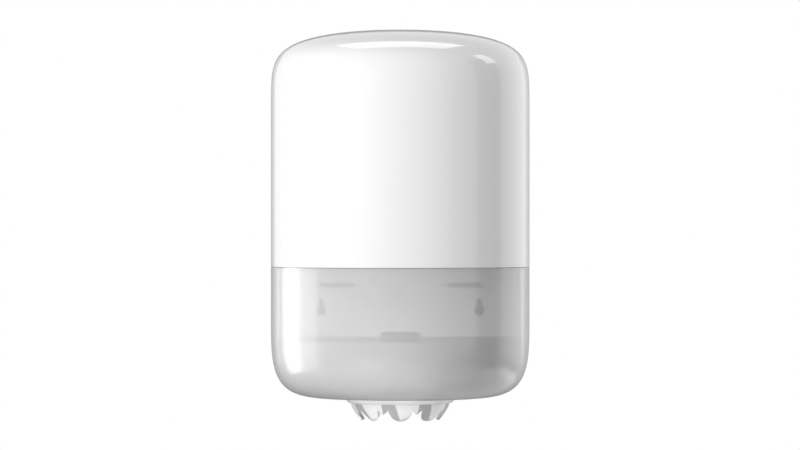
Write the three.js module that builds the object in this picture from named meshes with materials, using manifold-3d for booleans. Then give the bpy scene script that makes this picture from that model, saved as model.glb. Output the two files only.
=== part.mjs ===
// Wall-hung centre-feed wiper dispenser.
// Millimetres, +Z up, front towards -Y. The wall is the plane y = 0, and z = 0 is the height at which
// the screws of the two lower keyholes sit. A hinged cover closes over a back plate and a roll tray.
import * as THREE from 'three';
import { mergeVertices } from 'three/addons/utils/BufferGeometryUtils.js';
import Module from 'manifold-3d';

// Clearances shared by all pieces
const seatGap = 0.3;
const runningGap = 0.5;
const overrun = 6;
const mergeTolerance = 1e-4;

// Cover: a D-shaped plan whose half width follows a rounded silhouette
const coverHalfWidth = 119.5;
const coverDepth = 227;
const coverTop = 251.7;
const coverBottom = -88.4;
const domeRise = 92.2;
const domeSideExponent = 2.243;
const domeRiseExponent = 6.8;
const baseRise = 75.6;
const baseSideExponent = 7.38;
const baseRiseExponent = 3.7;
const poleShare = 0.06;
const coverWall = 2.5;
const coverToWall = 2;
const bandTop = 33.2;
const lapHeight = 8;
const lapRoot = 2.5;
const lapWall = 1.2;
const nozzleOpeningRadius = 52.2;

// Bottom hinge of the cover
const hingeOut = 9.5;
const hingeUp = 8.6;
const hingePinRadius = 2;
const hingePinLength = 24;
const lugFromSide = 41.5;
const lugWidth = 8;
const lugRadius = 5.2;
const lugReach = 20;
const lugFoot = 2;
const reliefDepth = 16.5;
const reliefHeight = 22.5;

// Back plate
const plateToCover = 2.3;
const plateDepth = 9;
const plateWall = 3;
const plateRim = 2.5;
const railDepth = 13.5;
const railAboveHinge = 7;
const ribWidth = 2;
const ribSpacing = 84;
const crossRibHeights = { lower: 40, middle: 110, upper: 200 };
const wallPadWidth = 34;
const wallPadHeight = 24;
const keyholeSpacing = 150;
const keyholeRise = 160;
const keyholeDrop = 9;
const keyholeSlotWidth = 5;
const keyholeRadius = 5;
const keyholePadRadius = 10.5;
const slotLength = 33.6;
const slotHeight = 5;
const slotSpacing = 121.1;
const slotUp = 14.9;
const windowWidth = 37.7;
const windowTop = -29.3;
const windowCorner = 4;

// Roll tray
const trayToCover = 4;
const trayWall = 2.2;
const trayRim = -33.8;
const trayToWall = 16.5;
const trayReliefToHinge = 9;
const trayReliefDepth = 34;
const traySeatMargin = 2;
const trayRibCount = 8;
const trayRibInner = 58;
const trayRibOuter = 88;
const trayRibHeight = 8;
const trayRibWidth = 2;
const trayHookWidth = 28;
const trayHookThickness = 2.7;
const trayHookTop = -48.5;
const trayHookTab = 3.5;
const trayHookDrop = 10;
const trayNotchWidth = 38;
const trayNotchCorner = 3;
const trayNotchAboveHook = 1.5;
const trayScrewFromSide = 63.5;
const trayScrewUpper = -46;
const trayScrewLower = -62;

// Screws, all of one pattern
const screwShankRadius = 1.6;
const screwHeadRadius = 3.3;
const screwHeadHeight = 2.2;
const plateScrewLength = 9;
const lockScrewLength = 5.8;
const screwRecessRadius = 1.5;
const screwRecessDepth = 1.1;
const screwRecessSides = 6;
const screwBossRadius = 4.6;

// Nozzle: a rigid collar, a soft fluted nozzle and a retaining ring
const collarRadius = 49.8;
const collarBelowCover = 4.1;
const collarRound = 3.9;
const collarBore = 45;
const neckRadius = 47;
const neckAboveTray = 7.7;
const petalWall = 1.6;
const petalFlange = 1.5;
const petalTopRadius = 45.7;
const petalTipRadius = 36;
const petalCurveExponent = 1.35;
const petalCount = 8;
const petalDrop = 15.9;
const petalArchDrop = 5.5;
const petalToothDrop = 9.6;
const fluteDepthTop = 0.9;
const fluteDepthTip = 1.6;
const fluteValleyShare = -0.155;
const archShare = 0.34;
const tongueRoundness = 2.3;
const toothSharpness = 1.05;
const fluteShares = [-0.5, -0.42, -0.34, -0.29, -0.17, 0, 0.17, 0.29, 0.34, 0.42];
const petalRowShares = [1, 0.66, 0.3, 0];
const ringOuterRadius = 54;
const ringHeight = 4;
const ringGripDepth = 1.6;
const ringGripCount = 12;
const ringGripRadius = 2.4;

// Lock: button, spring, keyed barrel, lever and catch
const lockOut = 40;
const buttonRadius = 8.75;
const buttonProud = 0.45;
const buttonCap = 9;
const buttonStemRadius = 4.5;
const buttonTipHeight = 2;
const buttonTipWidth = 2.4;
const buttonTravel = 3.5;
const barrelHeadRadius = 4.2;
const barrelHeadHeight = 2.2;
const barrelRadius = 2.6;
const keySlotWidth = 1.6;
const keySlotLength = 6;
const keySlotDepth = 1.2;
const lockArmLength = 20;
const lockArmWidth = 5;
const lockArmHeight = 3;
const housingWidth = 26;
const housingDepth = 30;
const housingFloor = 4;
const earReach = 11;
const earWidth = 10;
const earThickness = 3;
const earDrop = 3;
const earScrewSpacing = 38;
const coverBossRadius = 3.8;
const coverBossSkin = 1.2;
const springWire = 0.8;
const springRadius = 6.6;
const springTurns = 3.5;
const leverBelowHousing = 2.8;
const leverThickness = 3;
const leverWidth = 13;
const leverSlotWidth = 6.4;
const leverFront = 4.5;
const leverPivot = 13;
const leverBack = 27;
const leverKnuckleRadius = 3;
const leverHookThickness = 3;
const leverHookDrop = 7;
const leverHookWidth = 9;
const latchPinRadius = 1.4;
const cheekWidth = 2.5;
const cheekDepth = 8;
const cheekBelowPivot = 3.4;
const catchWidth = 44;
const catchThickness = 2.7;
const catchBelowScrews = 6;
const catchShelfWidth = 16;
const catchShelfThickness = 3;
const catchLipThickness = 2.6;
const catchLipHeight = 3.5;
const catchPlay = 0.4;
const catchArmWidth = 7;
const catchArmInner = 11;
const catchPostThickness = 3.2;
const catchPostHeight = 9.5;
const catchPostPlay = 0.8;
const catchScrewSpacing = 34;
const catchScrewUp = 4.5;

// How finely round forms are cut
const arcSteps = 24;
const silhouetteSamples = 800;
const turnStep = 0.14;
const chordStep = 34;
const roundSegments = 16;
const nozzleSegments = 40;
const springSteps = 36;
const springCurveSegments = 3;

// Heights and depths that follow from the sizes above
const axisY = coverHalfWidth - coverDepth;
const hingeY = -hingeOut;
const hingeZ = coverBottom + hingeUp;
const lugX = coverHalfWidth - lugFromSide;
const trayScrewX = coverHalfWidth - trayScrewFromSide;
const plateInset = coverWall + plateToCover;
const trayInset = coverWall + trayToCover;
const trayFloor = coverBottom + trayInset;
const trayRear = -trayToWall;
const trayScrewSeat = trayRear - trayWall - seatGap;
const trayScrewTip = trayScrewSeat + plateScrewLength;
const collarBottom = coverBottom - collarBelowCover;
const neckTop = trayFloor + trayWall + neckAboveTray;
const lockY = -lockOut;
const ceiling = coverTop - coverWall;
const earTop = ceiling - earDrop - seatGap;
const buttonTop = coverTop + buttonProud;
const capBottom = buttonTop - buttonCap;
const springRoom = buttonTravel + (springTurns + 1) * springWire;
const housingTop = ceiling - seatGap;
const housingBottom = capBottom - springRoom - housingFloor;
const leverTop = housingBottom - leverBelowHousing;
const stemBottom = leverTop + seatGap;
const pivotZ = leverTop - leverThickness / 2;
const hookBottom = leverTop - leverThickness - leverHookDrop;
const hookFront = lockY + leverBack - leverHookThickness;
const lockArmTop = pivotZ - leverKnuckleRadius - runningGap - seatGap;
const catchLipTop = hookBottom - catchPlay;
const catchShelfTop = catchLipTop - catchLipHeight;
const catchScrewZ = catchShelfTop - catchShelfThickness - catchScrewUp;
const catchScrewSeat = -plateDepth - catchThickness - 2 * seatGap;
const catchScrewTip = catchScrewSeat + plateScrewLength;

// Places of repeated features, as [x, z]
const sides = [-1, 1];
const trayScrewPlaces = sides.flatMap((side) => [trayScrewUpper, trayScrewLower].map(
  (z) => [side * trayScrewX, z]));
const catchScrewPlaces = sides.map((side) => [(side * catchScrewSpacing) / 2, catchScrewZ]);
const keyholePlaces = [0, keyholeRise].flatMap((seat) => sides.map(
  (side) => [(side * keyholeSpacing) / 2, seat]));

const library = await Module();
library.setup();

const finishes = {
  gloss: new THREE.MeshStandardMaterial({ color: 0xf4f4f4, roughness: 0.12, metalness: 0 }),
  smoke: new THREE.MeshStandardMaterial({
    color: 0xc4c4c6, roughness: 0.1, metalness: 0, transparent: true, opacity: 0.55,
  }),
  plate: new THREE.MeshStandardMaterial({ color: 0xe4e4e4, roughness: 0.45, metalness: 0 }),
  tray: new THREE.MeshStandardMaterial({ color: 0xc9c9ca, roughness: 0.4, metalness: 0 }),
  rubber: new THREE.MeshStandardMaterial({ color: 0xe8e8e8, roughness: 0.35, metalness: 0 }),
  lock: new THREE.MeshStandardMaterial({ color: 0xdcdcdc, roughness: 0.35, metalness: 0 }),
  steel: new THREE.MeshStandardMaterial({ color: 0xb4b6b8, roughness: 0.3, metalness: 1 }),
};

// Turns a closed three.js geometry into a solid for cutting and joining.
function solidOf(geometry) {
  const bare = geometry.clone();
  bare.deleteAttribute('normal');
  bare.deleteAttribute('uv');
  const merged = mergeVertices(bare, mergeTolerance);
  const vertProperties = new Float32Array(merged.attributes.position.array);
  const triVerts = new Uint32Array(merged.index.array);
  return new library.Manifold(new library.Mesh({ numProp: 3, vertProperties, triVerts }));
}

// Turns a solid back into a geometry.
function geometryOf(solid) {
  const mesh = solid.getMesh();
  const geometry = new THREE.BufferGeometry();
  geometry.setAttribute('position', new THREE.BufferAttribute(new Float32Array(mesh.vertProperties), 3));
  geometry.setIndex(new THREE.BufferAttribute(new Uint32Array(mesh.triVerts), 1));
  geometry.computeVertexNormals();
  return geometry;
}

const joined = (...solids) => solids.reduce((whole, next) => whole.add(next));
const cut = (solid, ...tools) => tools.reduce((left, tool) => left.subtract(tool), solid);

// A block between two corners.
function block(low, high) {
  const size = high.clone().sub(low);
  const geometry = new THREE.BoxGeometry(size.x, size.y, size.z);
  geometry.translate((low.x + high.x) / 2, (low.y + high.y) / 2, (low.z + high.z) / 2);
  return solidOf(geometry);
}

// A block from its ranges along X, Y and Z.
function blockOf([x0, x1], [y0, y1], [z0, z1]) {
  return block(new THREE.Vector3(x0, y0, z0), new THREE.Vector3(x1, y1, z1));
}

const centred = (width, middle = 0) => [middle - width / 2, middle + width / 2];

// A round rod along X, Y or Z, from one place on that axis to another.
function rod(axis, radius, [from, to], at, segments = roundSegments) {
  const geometry = new THREE.CylinderGeometry(radius, radius, to - from, segments);
  if (axis === 'x') geometry.rotateZ(-Math.PI / 2);
  if (axis === 'z') geometry.rotateX(Math.PI / 2);
  const middle = (from + to) / 2;
  const place = { x: [middle, at[0], at[1]], y: [at[0], middle, at[1]], z: [at[0], at[1], middle] }[axis];
  geometry.translate(...place);
  return solidOf(geometry);
}

// A body of revolution about Z from a closed profile of [radius, height].
function turned(profile, segments = nozzleSegments) {
  const points = [...profile, profile[0]].map(([radius, height]) => new THREE.Vector2(radius, height));
  const geometry = new THREE.LatheGeometry(points, segments);
  geometry.rotateX(Math.PI / 2);
  return solidOf(geometry);
}

// A plate whose outline lies in X and Z, between two places on Y.
function uprightPlate(shape, [front, back]) {
  const geometry = new THREE.ExtrudeGeometry(shape, {
    depth: back - front, bevelEnabled: false, curveSegments: arcSteps / 4,
  });
  geometry.rotateX(Math.PI / 2);
  geometry.translate(0, back, 0);
  return solidOf(geometry);
}

// A plate whose outline lies in Y and Z, between two places on X.
function sidePlate(shape, [left, right]) {
  const geometry = new THREE.ExtrudeGeometry(shape, { depth: right - left, bevelEnabled: false });
  const axes = new THREE.Matrix4().makeBasis(
    new THREE.Vector3(0, 1, 0), new THREE.Vector3(0, 0, 1), new THREE.Vector3(1, 0, 0));
  geometry.applyMatrix4(axes);
  geometry.translate(left, 0, 0);
  return solidOf(geometry);
}

// Stations along the cover's silhouette from its floor to its dome, each with its outward normal.
function silhouetteStations() {
  const quarter = (rise, spring, side, sideExponent, riseExponent) => {
    const fine = [];
    for (let i = 0; i <= silhouetteSamples; i += 1) {
      const share = i / silhouetteSamples;
      const turn = (Math.PI / 2) * share * share * (3 - 2 * share);
      const x = Math.max(Math.cos(turn) ** (2 / sideExponent), poleShare);
      const h = Math.sin(turn) ** (2 / riseExponent);
      const normal = new THREE.Vector2(
        (sideExponent / coverHalfWidth) * x ** (sideExponent - 1),
        (side * riseExponent / rise) * h ** (riseExponent - 1)).normalize();
      fine.push({ point: new THREE.Vector2(coverHalfWidth * x, spring + side * rise * h), normal });
    }
    const kept = [fine[0]];
    fine.forEach((station, i) => {
      const last = kept[kept.length - 1];
      const turnedBy = Math.acos(Math.min(1, station.normal.dot(last.normal)));
      const far = station.point.distanceTo(last.point) > chordStep && i > 1;
      if (i === fine.length - 1 || turnedBy > turnStep || far) kept.push(station);
    });
    return kept;
  };
  const low = quarter(baseRise, coverBottom + baseRise, -1, baseSideExponent, baseRiseExponent);
  const high = quarter(domeRise, coverTop - domeRise, 1, domeSideExponent, domeRiseExponent);
  return [...low.reverse(), ...high];
}

const stations = silhouetteStations();

// The silhouette moved inwards, as [half width, height] from floor to dome.
function silhouette(inset) {
  return stations.map(({ point, normal }, i) => {
    const pole = i === 0 || i === stations.length - 1;
    const x = pole ? point.x : point.x - inset * normal.x;
    const z = pole ? point.y - inset * Math.sign(normal.y) : point.y - inset * normal.y;
    return [x, z];
  });
}

// The closed form inside the cover's outer face: a round front about the upright axis and straight sides.
function loaf(inset, rear) {
  const rings = silhouette(inset).map(([halfWidth, z]) => {
    const ring = [new THREE.Vector3(-halfWidth, rear, z)];
    for (let k = 0; k <= arcSteps; k += 1) {
      const angle = -Math.PI / 2 + (Math.PI * k) / arcSteps;
      ring.push(new THREE.Vector3(halfWidth * Math.sin(angle), axisY - halfWidth * Math.cos(angle), z));
    }
    ring.push(new THREE.Vector3(halfWidth, rear, z));
    return ring;
  });
  return solidOf(loft(rings, true));
}

// Joins rings of points, each counter-clockwise seen from above, into a closed skin.
function loft(rings, capped) {
  const count = rings[0].length;
  const positions = rings.flat().flatMap(({ x, y, z }) => [x, y, z]);
  const index = [];
  const ringPairs = capped ? rings.length - 1 : rings.length;
  for (let i = 0; i < ringPairs; i += 1) {
    const upper = ((i + 1) % rings.length) * count;
    for (let j = 0; j < count; j += 1) {
      const next = (j + 1) % count;
      const corners = [i * count + j, i * count + next, upper + next, upper + j];
      index.push(corners[0], corners[1], corners[2], corners[0], corners[2], corners[3]);
    }
  }
  if (capped) {
    const last = (rings.length - 1) * count;
    for (let j = 1; j < count - 1; j += 1) {
      index.push(0, j + 1, j, last, last + j, last + j + 1);
    }
  }
  const geometry = new THREE.BufferGeometry();
  geometry.setAttribute('position', new THREE.Float32BufferAttribute(positions, 3));
  geometry.setIndex(index);
  return geometry;
}

// The silhouette as an outline in X and Z.
function silhouetteShape(inset) {
  const right = silhouette(inset).map(([x, z]) => new THREE.Vector2(x, z));
  const left = right.map(({ x, y }) => new THREE.Vector2(-x, y)).reverse();
  return new THREE.Shape([...right, ...left]);
}

const everywhere = [-coverDepth, coverDepth];
const above = (z) => blockOf(everywhere, [-2 * coverDepth, coverDepth], [z, z + 2 * coverDepth]);
const below = (z) => blockOf(everywhere, [-2 * coverDepth, coverDepth], [z - 2 * coverDepth, z]);

// The skin between two insets, open towards the wall.
function skin(outer, inner) {
  return cut(loaf(outer, -coverToWall), loaf(inner, overrun));
}

// A screw along Y, its head towards the front, with its seat at y = 0 and its tip towards the wall.
function screwGeometry(length) {
  const shank = rod('y', screwShankRadius, [0, length], [0, 0]);
  const head = rod('y', screwHeadRadius, [-screwHeadHeight, 0], [0, 0]);
  const recess = rod('y', screwRecessRadius,
    [-screwHeadHeight - overrun, screwRecessDepth - screwHeadHeight], [0, 0], screwRecessSides);
  return geometryOf(cut(joined(shank, head), recess));
}

// Upper cover: the opaque dome and sides, with the button's hole and two bosses for the lock's screws.
function coverShell() {
  const wall = cut(skin(0, coverWall), below(bandTop));
  const bosses = sides.map((side) => rod('z', coverBossRadius,
    [earTop + seatGap, coverTop - coverBossSkin], [(side * earScrewSpacing) / 2, lockY]));
  const bores = sides.map((side) => rod('z', screwShankRadius + seatGap,
    [earTop - overrun, ceiling], [(side * earScrewSpacing) / 2, lockY]));
  const hole = rod('z', buttonRadius + seatGap,
    [ceiling - overrun, coverTop + overrun], [0, lockY], nozzleSegments);
  return geometryOf(cut(joined(wall, ...bosses), ...bores, hole));
}

// One hinge lug: a knuckle on the hinge line and a foot that runs into the cover's floor.
function hingeLug(side) {
  const middle = side * lugX;
  const floorTop = coverBottom + coverWall;
  const foot = new THREE.Shape([
    new THREE.Vector2(hingeY, hingeZ + lugRadius),
    new THREE.Vector2(hingeY - lugReach, floorTop),
    new THREE.Vector2(hingeY - lugReach, floorTop - coverWall / 2),
    new THREE.Vector2(hingeY - lugReach / 3, coverBottom + coverWall / 2),
    new THREE.Vector2(hingeY - lugFoot, hingeZ - lugRadius + coverWall / 4),
  ]);
  const knuckle = rod('x', lugRadius, centred(lugWidth, middle), [hingeY, hingeZ]);
  const bore = rod('x', hingePinRadius + seatGap, centred(lugWidth + 2 * overrun, middle), [hingeY, hingeZ]);
  return cut(joined(sidePlate(foot, centred(lugWidth, middle)), knuckle), bore);
}

// Lower cover: see-through sides and floor, a lip behind the upper cover, the nozzle's opening and the lugs.
function coverBand() {
  const bandEdge = bandTop - seatGap;
  const wall = cut(skin(0, coverWall), above(bandEdge));
  const lipInner = coverWall + seatGap + lapWall;
  const lapBottom = bandTop - lapRoot;
  const root = cut(skin(coverWall - lapWall, lipInner), above(bandEdge), below(lapBottom));
  const lip = cut(skin(coverWall + seatGap, lipInner), above(bandTop + lapHeight), below(lapBottom));
  const opening = rod('z', nozzleOpeningRadius, [coverBottom - overrun, coverBottom + coverWall + overrun],
    [0, axisY], nozzleSegments);
  const relief = blockOf(everywhere, [-reliefDepth, coverDepth],
    [coverBottom - overrun, coverBottom + reliefHeight]);
  const lapRear = blockOf(everywhere, [-plateDepth - overrun, coverDepth],
    [lapBottom - overrun, bandTop + lapHeight + overrun]);
  const lap = cut(joined(root, lip), lapRear);
  return geometryOf(joined(cut(wall, opening, relief), lap, hingeLug(-1), hingeLug(1)));
}

// A keyhole outline: a round entry below and a narrow slot that ends at the screw's seat.
function keyholeOutline(x, seat) {
  const outline = new THREE.Shape();
  const half = keyholeSlotWidth / 2;
  const entry = seat - keyholeDrop;
  const open = Math.asin(half / keyholeRadius);
  outline.moveTo(x + half, seat);
  outline.absarc(x, seat, half, 0, Math.PI, false);
  outline.absarc(x, entry, keyholeRadius, Math.PI / 2 + open, Math.PI / 2 - open + 2 * Math.PI, false);
  outline.closePath();
  return outline;
}

// A level slot with round ends.
function slotOutline(x, z) {
  const outline = new THREE.Shape();
  const half = slotHeight / 2;
  const reach = slotLength / 2 - half;
  outline.moveTo(x + reach, z - half);
  outline.absarc(x + reach, z, half, -Math.PI / 2, Math.PI / 2, false);
  outline.absarc(x - reach, z, half, Math.PI / 2, (3 * Math.PI) / 2, false);
  outline.closePath();
  return outline;
}

// The window that takes the tray's hook, with rounded upper corners.
function windowOutline() {
  const half = windowWidth / 2;
  const sill = trayHookTop - trayHookTab - seatGap;
  const outline = new THREE.Shape();
  outline.moveTo(-half, sill);
  outline.lineTo(half, sill);
  outline.absarc(half - windowCorner, windowTop - windowCorner, windowCorner, 0, Math.PI / 2, false);
  outline.absarc(windowCorner - half, windowTop - windowCorner, windowCorner, Math.PI / 2, Math.PI, false);
  outline.closePath();
  return outline;
}

// Back plate: a panel with a rim to the wall, pads, ribs, bosses and a hinge rail along the bottom.
function backPlate() {
  const railTop = hingeZ + railAboveHinge;
  const outer = uprightPlate(silhouetteShape(plateInset), [-plateDepth, 0]);
  const rail = uprightPlate(silhouetteShape(plateInset), [-railDepth, 0]).intersect(below(railTop));
  const pocket = uprightPlate(silhouetteShape(plateInset + plateRim), [plateWall - plateDepth, overrun]);
  const pan = cut(outer, cut(pocket, below(railTop)));
  const behind = [-plateDepth + plateWall / 2, 0];
  const pads = keyholePlaces.map(
    ([x, seat]) => rod('y', keyholePadRadius, behind, [x, seat - keyholeDrop / 2]));
  const wallPad = blockOf(centred(wallPadWidth), behind, centred(wallPadHeight));
  const inside = uprightPlate(silhouetteShape(plateInset + plateRim / 2), behind);
  const uprights = sides.map((side) => blockOf(
    centred(ribWidth, (side * ribSpacing) / 2), behind, [railTop - plateRim, coverTop]));
  const crossRibs = Object.values(crossRibHeights).map((z) => blockOf(
    centred(2 * coverHalfWidth), behind, centred(ribWidth, z)));
  const ribs = joined(...uprights, ...crossRibs).intersect(inside);
  const trayBosses = trayScrewPlaces.map(
    (at) => rod('y', screwBossRadius, [trayRear + seatGap, plateWall / 2 - plateDepth], at));
  const catchBosses = catchScrewPlaces.map((at) => rod('y', screwBossRadius, behind, at));
  const body = joined(pan, rail, ...pads, wallPad, ribs, ...trayBosses, ...catchBosses);
  const trayBores = trayScrewPlaces.map((at) => rod('y', screwShankRadius + seatGap,
    [trayRear - overrun, trayScrewTip + seatGap], at));
  const catchBores = catchScrewPlaces.map((at) => rod('y', screwShankRadius + seatGap,
    [-plateDepth - overrun, catchScrewTip + seatGap], at));
  const through = [-railDepth - overrun, overrun];
  const keyholes = keyholePlaces.map(([x, seat]) => uprightPlate(keyholeOutline(x, seat), through));
  const slots = sides.map((side) => uprightPlate(slotOutline((side * slotSpacing) / 2, slotUp), through));
  const hookWindow = uprightPlate(windowOutline(), through);
  const notches = sides.map((side) => blockOf(
    centred(lugWidth + 2 * runningGap, side * lugX), through,
    [coverBottom - overrun, hingeZ + lugRadius + runningGap]));
  const pinBores = sides.map((side) => rod('x', hingePinRadius + seatGap,
    centred(hingePinLength + 2 * seatGap, side * lugX), [hingeY, hingeZ]));
  const bores = [...trayBores, ...catchBores, ...pinBores];
  const openings = [...keyholes, ...slots, hookWindow, ...notches];
  return geometryOf(cut(body, ...bores, ...openings));
}

// The notch in the tray's rear wall that leaves the plate's window free, with rounded lower corners.
function trayNotchOutline() {
  const half = trayNotchWidth / 2;
  const low = trayHookTop + trayNotchAboveHook;
  const outline = new THREE.Shape();
  outline.moveTo(half, trayRim + overrun);
  outline.lineTo(-half, trayRim + overrun);
  outline.absarc(trayNotchCorner - half, low + trayNotchCorner, trayNotchCorner, Math.PI, (3 * Math.PI) / 2, false);
  outline.absarc(half - trayNotchCorner, low + trayNotchCorner, trayNotchCorner, -Math.PI / 2, 0, false);
  outline.closePath();
  return outline;
}

// Roll tray: a bowl that follows the cover, with ribs for the roll, the nozzle's hole and a hook.
function rollTray() {
  const relief = (gap) => blockOf(everywhere, [-trayReliefDepth - gap, coverDepth],
    [coverBottom - overrun, hingeZ + trayReliefToHinge + gap]);
  const outer = cut(loaf(trayInset, trayRear), above(trayRim), relief(0));
  const inner = cut(loaf(trayInset + trayWall, trayRear - trayWall), relief(trayWall));
  const floorTop = trayFloor + trayWall;
  const ribs = Array.from({ length: trayRibCount }, (_, k) => {
    const geometry = new THREE.BoxGeometry(
      trayRibOuter - trayRibInner, trayRibWidth, trayRibHeight + trayWall / 2);
    geometry.translate((trayRibOuter + trayRibInner) / 2, 0, floorTop + trayRibHeight / 2 - trayWall / 4);
    geometry.rotateZ(Math.PI / trayRibCount + (2 * Math.PI * k) / trayRibCount);
    geometry.translate(0, axisY, 0);
    return solidOf(geometry);
  });
  const hookBack = trayHookThickness + seatGap - plateDepth + plateWall;
  const tab = blockOf(centred(trayHookWidth), [trayRear - trayWall / 2, hookBack],
    [trayHookTop - trayHookTab, trayHookTop]);
  const leg = blockOf(centred(trayHookWidth), [hookBack - trayHookThickness, hookBack],
    [trayHookTop - trayHookTab - trayHookDrop, trayHookTop]);
  const hole = rod('z', neckRadius + seatGap,
    [trayFloor - overrun, floorTop + overrun], [0, axisY], nozzleSegments);
  const seat = rod('z', ringOuterRadius + traySeatMargin,
    [floorTop, floorTop + neckAboveTray], [0, axisY], nozzleSegments);
  const screwHoles = trayScrewPlaces.map((at) => rod('y', screwShankRadius + seatGap,
    [trayRear - trayWall - overrun / 2, trayRear + overrun / 2], at));
  const notch = uprightPlate(trayNotchOutline(), [trayRear - trayWall - overrun / 2, trayRear + overrun / 2]);
  const bowl = cut(outer, inner, seat, hole, notch, ...screwHoles);
  return geometryOf(joined(bowl, ...ribs.map((rib) => rib.intersect(outer)), tab, leg));
}

// Nozzle collar: its shoulder bears on the tray's floor from below and its neck stands up through the tray.
function nozzleCollar() {
  const roundSteps = arcSteps / 6;
  const corner = Array.from({ length: roundSteps + 1 }, (_, k) => {
    const angle = (-Math.PI / 2) * (1 - k / roundSteps);
    return [collarRadius - collarRound + collarRound * Math.cos(angle),
      collarBottom + collarRound + collarRound * Math.sin(angle)];
  });
  return geometryOf(turned([
    [collarBore, collarBottom],
    ...corner,
    [collarRadius, trayFloor - seatGap],
    [neckRadius, trayFloor - seatGap],
    [neckRadius, neckTop],
    [collarBore, neckTop],
  ]));
}

// How far a flute lies below its ridges, from 0 on a ridge to 1 in the valley.
function fluteShare(share) {
  const before = (share + 0.5) / (fluteValleyShare + 0.5);
  const after = (share - fluteValleyShare) / (0.5 - fluteValleyShare);
  return share < fluteValleyShare ? Math.sin((Math.PI / 2) * before) : Math.cos((Math.PI / 2) * after);
}

// How far the nozzle's edge hangs below the collar at a place across one flute.
function edgeDrop(share) {
  const across = Math.abs(share) / archShare;
  if (across < 1) {
    const tongue = (1 - across ** tongueRoundness) ** (1 / tongueRoundness);
    return petalArchDrop + (petalDrop - petalArchDrop) * tongue;
  }
  const tooth = (Math.abs(share) - archShare) / (0.5 - archShare);
  return petalArchDrop + (petalToothDrop - petalArchDrop) * tooth ** toothSharpness;
}

// Soft nozzle: a neck with a flange inside the collar, and a fluted skirt that ends in tongues and teeth.
function nozzlePetals() {
  const petals = Array.from({ length: petalCount }, (_, k) => k);
  const columns = petals.flatMap((k) => fluteShares.map((share) => ({ share, turn: k + share })));
  const coneTop = collarBottom - seatGap;
  const neckOuter = collarBore - seatGap;
  const neckInner = neckOuter - petalWall;
  const flangeBottom = neckTop + seatGap;
  const rings = petalLoop(columns.map(({ share, turn }) => {
    const angle = (2 * Math.PI * turn) / petalCount;
    const cone = (depth, wall) => {
      const down = depth / petalDrop;
      const flute = THREE.MathUtils.lerp(fluteDepthTop, fluteDepthTip, down) * fluteShare(share);
      const ridge = THREE.MathUtils.lerp(petalTopRadius, petalTipRadius, down ** petalCurveExponent);
      return [ridge - flute - wall, coneTop - depth];
    };
    const drop = edgeDrop(share) - seatGap;
    const outer = petalRowShares.map((row) => cone(row * drop, 0));
    const inner = [...petalRowShares].reverse().map((row) => cone(row * drop, petalWall));
    const loop = [
      ...outer,
      [neckOuter, coneTop],
      [neckOuter, flangeBottom],
      [neckRadius, flangeBottom],
      [neckRadius, flangeBottom + petalFlange],
      [neckInner, flangeBottom + petalFlange],
      [neckInner, coneTop + seatGap],
      ...inner,
    ];
    return loop.map(
      ([radius, z]) => new THREE.Vector3(radius * Math.sin(angle), -radius * Math.cos(angle), z));
  }));
  return loft(rings, false);
}

// Turns columns of points into rings, one for each place on the loop.
function petalLoop(columns) {
  return columns[0].map((_, i) => columns.map((column) => column[i]));
}

// Retaining ring on the collar's neck, with finger grips round its edge.
function nozzleRing() {
  const bottom = trayFloor + trayWall + seatGap;
  const ring = turned([
    [neckRadius + seatGap, bottom],
    [ringOuterRadius, bottom],
    [ringOuterRadius, bottom + ringHeight],
    [neckRadius + seatGap, bottom + ringHeight],
  ]);
  const gripAt = ringOuterRadius + ringGripRadius - ringGripDepth;
  const grips = Array.from({ length: ringGripCount }, (_, k) => {
    const angle = (2 * Math.PI * k) / ringGripCount;
    return rod('z', ringGripRadius, [bottom - overrun, bottom + ringHeight + overrun],
      [gripAt * Math.sin(angle), gripAt * Math.cos(angle)], arcSteps / 2);
  });
  return geometryOf(cut(ring, ...grips));
}

// Lock housing: a bored block under the dome with two ears, two cheeks for the lever and a spring floor.
function lockHousing() {
  const body = blockOf(centred(housingWidth), centred(housingDepth), [housingBottom, housingTop]);
  const ears = blockOf(
    centred(housingWidth + 2 * earReach), centred(earWidth), [earTop - earThickness, earTop]);
  const cheekInner = leverWidth / 2 + runningGap;
  const cheeks = sides.map((side) => blockOf(
    centred(cheekWidth, side * (cheekInner + cheekWidth / 2)), centred(cheekDepth, leverPivot),
    [pivotZ - cheekBelowPivot, housingBottom + housingFloor / 2]));
  const bore = rod('z', buttonRadius + seatGap,
    [housingBottom + housingFloor, housingTop + overrun], [0, 0], nozzleSegments);
  const stemHole = rod('z', buttonStemRadius + seatGap, [housingBottom - overrun, housingTop], [0, 0]);
  const pinBore = rod('x', latchPinRadius + seatGap, centred(housingWidth), [leverPivot, pivotZ]);
  const earHoles = sides.map((side) => rod('z', screwShankRadius + seatGap,
    [earTop - earThickness - overrun, earTop + earDrop / 2], [(side * earScrewSpacing) / 2, 0]));
  return geometryOf(cut(joined(body, ears, ...cheeks), bore, stemHole, pinBore, ...earHoles));
}

// Push button: a cap, and a hollow stem that ends in a narrow tip on the lever.
function lockButton() {
  const cap = rod('z', buttonRadius, [capBottom, buttonTop], [0, 0], nozzleSegments);
  const stem = rod('z', buttonStemRadius, [stemBottom, capBottom + buttonCap / 2], [0, 0]);
  const tipTop = stemBottom + buttonTipHeight;
  const waste = sides.map((side) => blockOf(centred(housingWidth),
    centred(housingDepth, (side * (housingDepth + buttonTipWidth)) / 2), [stemBottom - overrun, tipTop]));
  const head = rod('z', barrelHeadRadius + seatGap,
    [buttonTop - barrelHeadHeight - seatGap, buttonTop + overrun], [0, 0]);
  const bore = rod('z', barrelRadius + seatGap, [stemBottom - overrun, buttonTop], [0, 0]);
  return geometryOf(cut(joined(cap, stem), ...waste, head, bore));
}

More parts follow.
